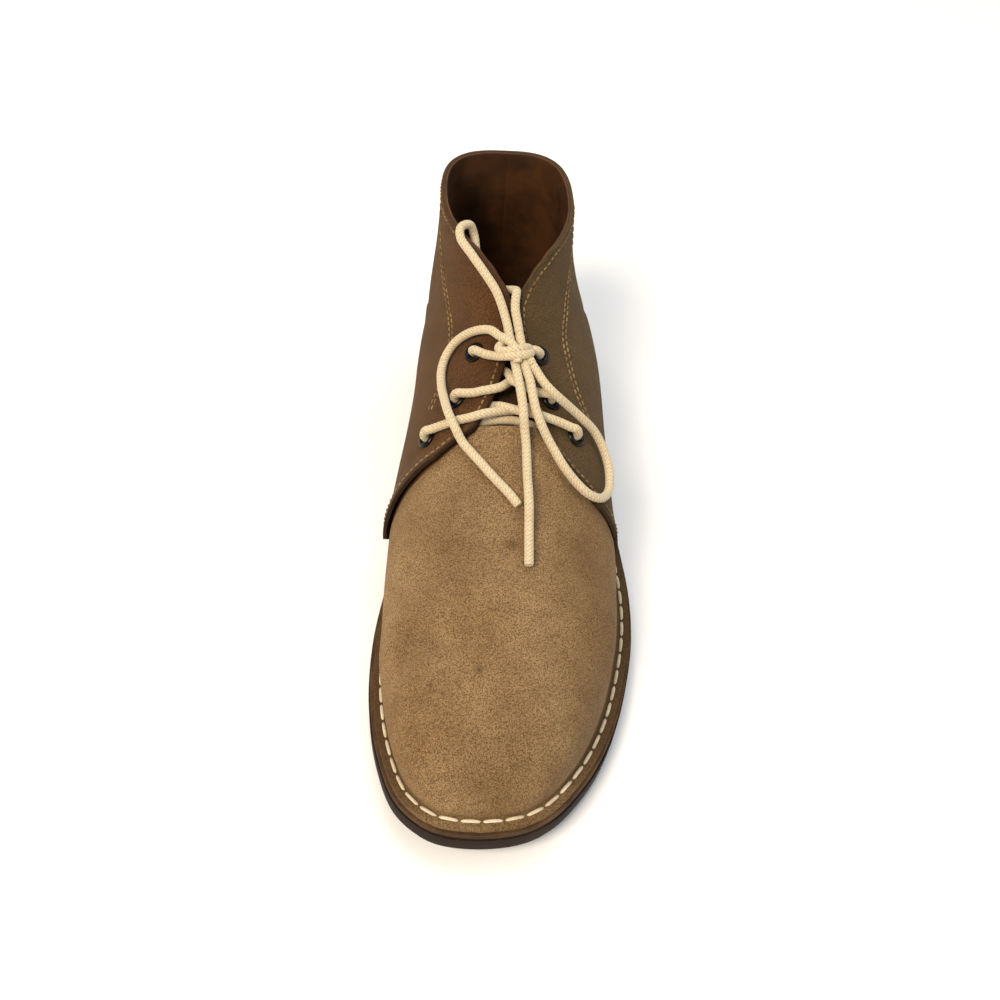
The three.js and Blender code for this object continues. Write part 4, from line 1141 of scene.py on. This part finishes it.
# Where the vamp's flange darkens and where painted shade darkens its front end along the
# quarters' front edges, and how dark they are at most
FLANGE_DARK_AT = (0.84, 0.94)
FLANGE_DARK = (0.35, 0.8)  # at the toe, and further back
FLANGE_DARK_SECTIONS = (1.5, 4.5)
FRONT_PAINTED_SHADE_AT = (-0.5, 0.1)
FRONT_PAINTED_SHADE = 0.35
MOST_VAMP_DARKENING_AND_SHADE = 0.85


def vamp_relief(section, across):
    """Soft troughs and ridges on the vamp, in metres."""
    height = 0 * section
    for at, over, half_length, half_width, turn, most in VAMP_FORMS:
        along = (section - at - (across - over) * turn) / half_length
        aside = (across - over) / half_width
        height = height + most * MM * np.exp(-along ** 2 - aside ** 2)
    return height


def vamp_stains_and_shade(section, across):
    """How dark the vamp's stains and its painted shade are."""
    dark = 0 * section
    for at, over, size, most in VAMP_STAINS_AND_SHADE:
        away = (section - at) ** 2 + ((across - over) * ACROSS_PER_SECTION) ** 2
        dark = dark + most * np.exp(-away / size ** 2)
    return dark


class BOOT_OT_vamp(bpy.types.Operator):
    """Adds the vamp with its creases and its turned edge"""
    bl_idname = "boot.vamp"
    bl_label = "Vamp"

    def execute(self, context):
        piece, along, over = grid_piece(
            "vamp", VAMP_ROWS, VAMP_COLUMNS, lambda along, over: vamp_point(along, over)[0])
        _, section, across = vamp_point(along, over)
        down = np.abs(across)
        flat = np.abs(2 * over - 1) > 1 - TURNED_CELLS
        front = quarter_front(ramp(TOP_DOWN[0], 1, down), np.where(across < 0, -1, 1))
        covered = down > OPEN_DOWN
        sunk = VAMP_SUNK * smooth(ramp(*VAMP_SUNK_AT, section - front)) * covered
        raise_surface(piece, (vamp_relief(section, across) - sunk) * ~flat)
        # The flange darkens; painted shade darkens the vamp along the quarters' front edges, in
        # its creases and on its side turned from the light; and a few stains
        flange = smooth(ramp(*FLANGE_DARK_AT, np.abs(2 * over - 1)))
        flange = flange * mix(*FLANGE_DARK, ramp(*FLANGE_DARK_SECTIONS, section))
        near_front_shade = FRONT_PAINTED_SHADE * smooth(ramp(*FRONT_PAINTED_SHADE_AT, section - front)) * covered
        darkening_and_painted_shade = flange + near_front_shade + vamp_stains_and_shade(section, across)
        mark(piece, "darkening_and_painted_shade", np.clip(darkening_and_painted_shade, 0, MOST_VAMP_DARKENING_AND_SHADE))
        leather_panel(piece, VAMP_WALL)
        finish_piece(piece, ["suede_vamp", "lining_hide", "suede_edge"], "suede", "upper")
        return {"FINISHED"}


def quarter_grid(name, side):
    def place(along, over):
        up = over if side < 0 else 1 - over
        return quarter_point(side, along, up)

    piece, along, over = grid_piece(name, QUARTER_ROWS, QUARTER_COLUMNS, place)
    up = over if side < 0 else 1 - over
    return piece, along, up


EDGE_LIFT = {-1: 1.7 * MM, 1: 0.5 * MM}  # how far the front edge stands off the vamp
EDGE_LIFT_SHARE = 0.07
FLANGE_RISE = 0.6 * MM  # how far a quarter's turned edge stands off the vamp's, at its outside
SUEDE = QUARTER_STEP + 0.25 * MM
LINING_GAP = 0.12 * MM
LINING_SHEET = QUARTER_LINING - 0.35 * MM
LINING_EDGE = 0.2 * MM  # how round its cut edge is
LINING_SUNK = 0.5 * MM  # how far the lining's turned edge lies under the suede's
PUNCH_DEPTH = 14 * MM
PUNCH_SIDES = 32

# Where a quarter is darker, partly with painted shade: the share that it follows, where it
# starts and is full, how dark it is, and on which sides
QUARTER_DARKENING_AND_SHADE = [
    # darker at the collar's top edge
    ("up", 0.97, 1, 0.4, (-1, 1)),
    # darker along the front edge, mostly painted shade where it stands off the vamp
    ("along", 0.02, 0.008, 0.8, (-1, 1)),
    # darker towards the foot
    ("up", 0.2, 0.08, 0.55, (-1, 1)),
    # painted shade over the inner quarter's lower part, turned from the light
    ("up", 0.9, 0.7, 0.25, (-1,)),
]
MOST_QUARTER_DARKENING_AND_SHADE = 0.9


def quarter_darkening_and_painted_shade(side, along, up):
    shares = {"along": along, "up": up}
    darkening_and_painted_shade = 0 * up
    for way, start, full, dark, sides in QUARTER_DARKENING_AND_SHADE:
        if side in sides:
            darkening_and_painted_shade = darkening_and_painted_shade + dark * smooth(ramp(start, full, shares[way]))
    return np.clip(darkening_and_painted_shade, 0, MOST_QUARTER_DARKENING_AND_SHADE)


def eyelet_cutter(side):
    """Plain punches for the eyelet holes of one side."""
    punches = []
    for place in EYELETS:
        if not place.startswith(SIDE_NAMES[side]):
            continue
        middle, normal = eyelet_seat(place)
        deselect()
        bpy.ops.mesh.primitive_cylinder_add(
            vertices=PUNCH_SIDES, radius=EYELET_BORE + EYELET_BARREL + GAP / 2,
            depth=PUNCH_DEPTH, location=middle,
            rotation=Vector(normal).to_track_quat("Z", "Y").to_euler())
        punches.append(bpy.context.object)
    return join_pieces("punches", punches)


class BOOT_OT_quarters(bpy.types.Operator):
    """Adds the two quarters and their leather linings, punched for the eyelets"""
    bl_idname = "boot.quarters"
    bl_label = "Quarters"

    def execute(self, context):
        for side, name in SIDE_NAMES.items():
            cutter = eyelet_cutter(side)
            suede, along, up = quarter_grid(f"quarter_{name}", side)
            turned = up < TURNED_CELLS
            lift = EDGE_LIFT[side] * smooth(ramp(EDGE_LIFT_SHARE, 0, along)) * ~turned
            body = mix(FLANGE_RISE, QUARTER_STEP, ramp(0, TURNED_CELLS, up))
            raise_surface(suede, body + lift)
            mark(suede, "darkening_and_painted_shade", quarter_darkening_and_painted_shade(side, along, up))
            leather_panel(suede, SUEDE)
            lining, _, up = quarter_grid(f"lining_{name}", side)
            sunk = LINING_GAP + LINING_SUNK * (up < TURNED_CELLS)
            raise_surface(lining, QUARTER_STEP - SUEDE - sunk)
            leather_panel(lining, LINING_SHEET, LINING_EDGE)
            for piece in (suede, lining):
                apply_modifier(piece, "BOOLEAN", object=cutter, operation="DIFFERENCE",
                               solver="EXACT")
                smooth_by_angle(piece)
            bpy.data.objects.remove(cutter)
            finish_piece(suede, [f"suede_{name}", "suede_edge", "suede_edge"], "suede", "upper")
            finish_piece(lining, ["lining_hide", "lining_hide", "lining_edge"],
                         "lining_leather", "upper")
        return {"FINISHED"}


class BOOT_OT_tongue(bpy.types.Operator):
    """Adds the tongue under the throat"""
    bl_idname = "boot.tongue"
    bl_label = "Tongue"

    def execute(self, context):
        def place(along, over):
            section = mix(TONGUE_START, TONGUE_END, along)
            across = mix(-TONGUE_SIDE, TONGUE_SIDE, over) * mix(1, TONGUE_TAPER, along)
            dip = smooth(ramp(*TONGUE_DIP, section))
            return above(section, across, -mix(VAMP_WALL + CURVED_GAP, TONGUE_DEPTH, dip))

        piece, along, _ = grid_piece("tongue_strip", TONGUE_ROWS, TONGUE_COLUMNS, place)
        mark(piece, "darkening_and_painted_shade", 0 * along)
        leather_panel(piece, TONGUE)
        finish_piece(piece, ["suede_tongue_painted_shade", "lining_hide", "suede_edge"], "suede", "tongue")
        return {"FINISHED"}


# Eyelets

EYELET_PROFILE = [  # radius as a share of the rim's width, height as a share of the rim's
    (0.0, 0.25), (0.12, 0.68), (0.3, 0.94), (0.48, 1.0), (0.68, 0.86), (0.87, 0.52),
    (1.0, 0.12), (1.0, 0.0),
]
EYELET_SIDES = 40


def eyelet_piece():
    """One eyelet on Z: a ring extruded and scaled round its profile, and closed."""
    width = EYELET_RIM - EYELET_BORE
    low = -QUARTER_LINING - GAP
    base = QUARTER_STEP + GAP
    loops = [(EYELET_BORE, low)]
    loops += [(EYELET_BORE + width * r, base + EYELET_RIM_HEIGHT * h) for r, h in EYELET_PROFILE]
    loops += [(EYELET_BORE + EYELET_BARREL, base), (EYELET_BORE + EYELET_BARREL, low)]
    deselect()
    bpy.ops.mesh.primitive_circle_add(
        vertices=EYELET_SIDES, radius=loops[0][0], location=(0, 0, loops[0][1]))
    piece = bpy.context.object
    bpy.ops.object.transform_apply(location=True)
    bpy.ops.object.mode_set(mode="EDIT")
    bpy.ops.mesh.select_all(action="SELECT")
    for (radius, height), (next_radius, next_height) in zip(loops, loops[1:]):
        bpy.ops.mesh.extrude_region_move(
            TRANSFORM_OT_translate={"value": (0, 0, next_height - height)})
        share = next_radius / radius
        bpy.ops.transform.resize(value=(share, share, 1), center_override=(0, 0, 0))
    bpy.ops.mesh.select_all(action="DESELECT")
    bpy.ops.mesh.select_non_manifold()
    bpy.ops.mesh.bridge_edge_loops()
    bpy.ops.mesh.select_all(action="SELECT")
    bpy.ops.mesh.normals_make_consistent(inside=False)
    bpy.ops.object.mode_set(mode="OBJECT")
    smooth_by_angle(piece, degrees=50)
    return piece


class BOOT_OT_eyelets(bpy.types.Operator):
    """Adds the six enamelled eyelets"""
    bl_idname = "boot.eyelets"
    bl_label = "Eyelets"

    def execute(self, context):
        first = eyelet_piece()
        for place in EYELETS:
            middle, normal = eyelet_seat(place)
            turn = Vector(normal).to_track_quat("Z", "Y").to_matrix().to_4x4()
            piece = bpy.data.objects.new(f"ring_{place}", first.data.copy())
            context.collection.objects.link(piece)
            piece.data.transform(Matrix.Translation(Vector(middle)) @ turn)
            finish_piece(piece, ["stoved_enamel"], "eyelet_enamel", f"eyelet_{place}")
        bpy.data.objects.remove(first)
        return {"FINISHED"}


# Stitches

SEAM_SPACE = 0.8 * MM
SEAM_THREAD = 0.9 * MM
SEAM_HEIGHT = 0.3 * MM
SEAM_SUNK = 0.12 * MM
FRONT_MARGIN = 4 * MM
FRONT_ROW = (0.1, 0.95)  # from where to where up the front edge the row runs
TOP_MARGIN = 2.6 * MM
TOP_ROW = (0.02, 0.995)
TOP_ROW_UP = 0.999
TOP_ROW_EVENED = 40
THROAT_ROW = 0.9  # how much of the throat's width the row below it takes
THROAT_MARGIN = 0.1  # how many sections it lies below the edge
SEAM_PAIR = 2.4 * MM
SEAM_EVENED = 70
WELT_OFFSET = 1.5 * MM
WELT_SPACE = 0.7 * MM
WELT_HEIGHT = 0.8 * MM
WELT_SUNK = 0.35 * MM
WELT_CLEAR = 0.6 * MM  # how far a wall may lean out before the stitches move out with it
WELT_MOST = 2.2 * MM
WELT_STEP = 1 * MM
QUARTER_RISE = 1.1 * MM  # how far the quarters' turned edge lies above the vamp's
QUARTER_RISE_AT = (-0.1, 0)  # in half lengths from the boot's middle
INSET_PROBE = 0.01


def inset_line(side, along, up, by_along, by_up):
    """A line on a quarter moved inwards from its edges by real distances."""
    here = quarter_wall(side, along, up)
    behind = quarter_wall(side, along + INSET_PROBE, up)
    below = quarter_wall(side, along, up - INSET_PROBE)
    along_rate = np.linalg.norm(behind - here, axis=-1) / INSET_PROBE
    up_rate = np.linalg.norm(below - here, axis=-1) / INSET_PROBE
    return along + by_along / along_rate, up - by_up / up_rate


def welt_offset():
    """How far outside the sewn line the long stitches lie: clear of a wall that leans out."""
    sections = np.linspace(0, HEEL_SECTION, EDGE_STEPS + 1)
    lean = []
    for side in (1, -1):
        start = np.interp(sections, *CREASE_START[side])
        over = skin(sections, side * start) - skin(sections, side * 1.0)
        direction = edge_direction(sections, 0 * sections + side)
        lean.append(np.sum(over * direction, axis=-1))
    lean = np.concatenate([lean[0], lean[1][-2:0:-1]])
    return WELT_OFFSET + np.clip(lean - WELT_CLEAR, 0, WELT_MOST)


def throat_row():
    """The row across the vamp, below the throat's edge."""
    across = np.linspace(-THROAT_ROW, THROAT_ROW, 30) * TOP_DOWN[0]
    section = THROAT_SECTION - THROAT_MARGIN + 0 * across
    return skin(section, across), outward(section, across)


class BOOT_OT_stitches(bpy.types.Operator):
    """Adds the stitches of the quarters and the long ones round the sole"""
    bl_idname = "boot.stitches"
    bl_label = "Stitches"

    def execute(self, context):
        sizes = sizes_of(context)
        for side, name in SIDE_NAMES.items():
            rows = [*self.edge_rows(side), *self.seam_rows(side)]
            if side < 0:
                rows.append(throat_row())
            fine = [stitch_row(*row, sizes.seam_stitch, SEAM_SPACE, SEAM_THREAD, SEAM_HEIGHT,
                               SEAM_SUNK) for row in rows]
            finish_piece(stitch_piece(f"seams_{name}", fine), ["thread_tan"], "suede", "upper")
        line = SEWN_LOOP + SEWN_OUT * welt_offset()[:, None]
        rise = QUARTER_RISE * smooth(ramp(*QUARTER_RISE_AT, line[:, 1] / HALF_LENGTH))
        line[:, 2] = seat(line[:, 1]) + TURNED_EDGE + rise
        line = even_steps(np.vstack([line, line[:1]]), WELT_STEP)
        normals = np.tile((0.0, 0.0, 1.0), (len(line), 1))
        long_row = stitch_row(line, normals, sizes.welt_stitch, WELT_SPACE, sizes.thread,
                              WELT_HEIGHT, WELT_SUNK)
        finish_piece(stitch_piece("sole_stitches", [long_row]), ["thread_cream"], "suede",
                     "upper")
        return {"FINISHED"}

    def edge_rows(self, side):
        """One row behind the front edge, and one below the facing and the collar."""
        up = np.linspace(*FRONT_ROW, 60)
        along, up = inset_line(side, 0 * up, up, FRONT_MARGIN, 0)
        edge = EDGE_LIFT[side] * smooth(ramp(EDGE_LIFT_SHARE, 0, along))
        front = quarter_above(side, along, up, (QUARTER_STEP + edge)[:, None])
        along = np.linspace(*TOP_ROW, 260)
        along, up = inset_line(side, along, 0 * along + TOP_ROW_UP, 0, TOP_MARGIN)
        top = quarter_above(side, along, evened(up, TOP_ROW_EVENED), QUARTER_STEP)
        return [front, top]

    def seam_rows(self, side):
        """The double seam down a quarter, two rows side by side."""
        control = np.array(SEAM_LINES[side])
        at = np.linspace(0, len(control) - 1, 90)
        section, down = (evened(np.interp(at, np.arange(len(control)), values), SEAM_EVENED)
                         for values in control.T)
        middle = skin(section, side * down)
        normal = outward(section, side * down)
        aside = unit(np.cross(np.gradient(middle, axis=0), normal))
        return [(middle + aside * shift + normal * QUARTER_STEP, normal)
                for shift in (-SEAM_PAIR / 2, SEAM_PAIR / 2)]


# Sole

SOLE_COLUMNS = 24
SOLE_ANGLE = 35  # degrees, above which an edge of the sole stays sharp
BREAST_SLOPE = 0.2


def sole_layer(name, offset, top, bottom, round_edge):
    """A layer of the sole: a grid laid over the outline, then extruded downwards."""
    def place(along, over):
        at = along * EDGE_STEPS
        index = np.round(at).astype(int)
        lateral = SEWN_LOOP[index] + SEWN_OUT[index] * offset
        medial = SEWN_LOOP[-index] + SEWN_OUT[-index] * offset
        point = mix(medial, lateral, over[:, None])
        point[:, 2] = top(point[:, 1])
        return point

    piece = grid_piece(name, EDGE_STEPS, SOLE_COLUMNS, place)[0]
    in_edit_mode(
        piece,
        lambda: bpy.ops.mesh.remove_doubles(threshold=MERGE),
        lambda: bpy.ops.mesh.extrude_region_move(
            TRANSFORM_OT_translate={"value": (0, 0, -1 * MM)}),
    )
    points = vectors_of(piece, "co")
    chosen = np.zeros(len(points), dtype=bool)
    piece.data.vertices.foreach_get("select", chosen)
    points[chosen, 2] = bottom(points[chosen, 1])
    move_points(piece, points)
    in_edit_mode(piece, lambda: bpy.ops.mesh.normals_make_consistent(inside=False))
    round_edges(piece, round_edge, segments=3, degrees=50)
    smooth_by_angle(piece, SOLE_ANGLE)
    return piece


def midsole_top(y):
    return seat(y) - GAP


def midsole_bottom(y):
    return midsole_top(y) - MIDSOLE


def outsole_top(y):
    return midsole_bottom(y) - GAP


SOLE_PIECES = [  # name, beyond the sewn line, top, underside, rounding, material, slot, node
    ("insole_board", -INSOLE_INSET, lambda y: seat(y) + INSOLE, seat, 0.5 * MM,
     "lining_hide", "lining_leather", "insole"),
    ("midsole_edge", MIDSOLE_EDGE, midsole_top, midsole_bottom, 0.6 * MM,
     "midsole_hide", "midsole_leather", "midsole"),
    ("outsole_tread", OUTSOLE_EDGE, outsole_top, tread, 1 * MM,
     "moulded_rubber", "sole_rubber", "outsole"),
    ("heel_lift", OUTSOLE_EDGE, lambda y: 0 * y + HEEL_RISE - GAP, lambda y: 0 * y, 1 * MM,
     "moulded_rubber", "sole_rubber", "heel"),
]


class BOOT_OT_sole(bpy.types.Operator):
    """Adds the insole, the midsole, the outsole and the heel"""
    bl_idname = "boot.sole"
    bl_label = "Sole"

    def execute(self, context):
        for name, offset, top, bottom, rounding, material, slot, node in SOLE_PIECES:
            piece = sole_layer(name, offset, top, bottom, rounding)
            if node == "heel":
                in_edit_mode(piece, lambda: bpy.ops.mesh.bisect(
                    plane_co=(0, BREAST * HALF_LENGTH, HEEL_RISE / 2),
                    plane_no=(0, 1, -BREAST_SLOPE), use_fill=True, clear_inner=True))
                smooth_by_angle(piece, SOLE_ANGLE)
            finish_piece(piece, [material], slot, node)
        return {"FINISHED"}


class BOOT_PT_panel(bpy.types.Panel):
    """Lists the sizes, the colours and the steps in order"""
    bl_idname = "BOOT_PT_panel"
    bl_label = "Chukka Boot"
    bl_space_type = "VIEW_3D"
    bl_region_type = "UI"
    bl_category = "Boot"

    def draw(self, context):
        for group in (context.scene.boot_sizes, context.scene.boot_colours):
            for name in group.bl_rna.properties.keys():
                if name not in ("rna_type", "name"):
                    self.layout.prop(group, name)
        for step in STEPS:
            self.layout.operator(step.bl_idname)


STEPS = [
    BOOT_OT_stage, BOOT_OT_lace, BOOT_OT_vamp, BOOT_OT_quarters, BOOT_OT_tongue,
    BOOT_OT_eyelets, BOOT_OT_stitches, BOOT_OT_sole,
]
CLASSES = [BootSizes, BootColours, *STEPS, BOOT_PT_panel]


def register():
    for item in CLASSES:
        bpy.utils.register_class(item)
    bpy.types.Scene.boot_sizes = bpy.props.PointerProperty(type=BootSizes)
    bpy.types.Scene.boot_colours = bpy.props.PointerProperty(type=BootColours)


def unregister():
    del bpy.types.Scene.boot_colours
    del bpy.types.Scene.boot_sizes
    for item in reversed(CLASSES):
        bpy.utils.unregister_class(item)


def main():
    register()
    make_materials(bpy.context.scene.boot_colours)
    bpy.ops.boot.stage()
    bpy.ops.boot.lace()
    bpy.ops.boot.vamp()
    bpy.ops.boot.quarters()
    bpy.ops.boot.tongue()
    bpy.ops.boot.eyelets()
    bpy.ops.boot.stitches()
    bpy.ops.boot.sole()


if __name__ == "__main__":
    main()
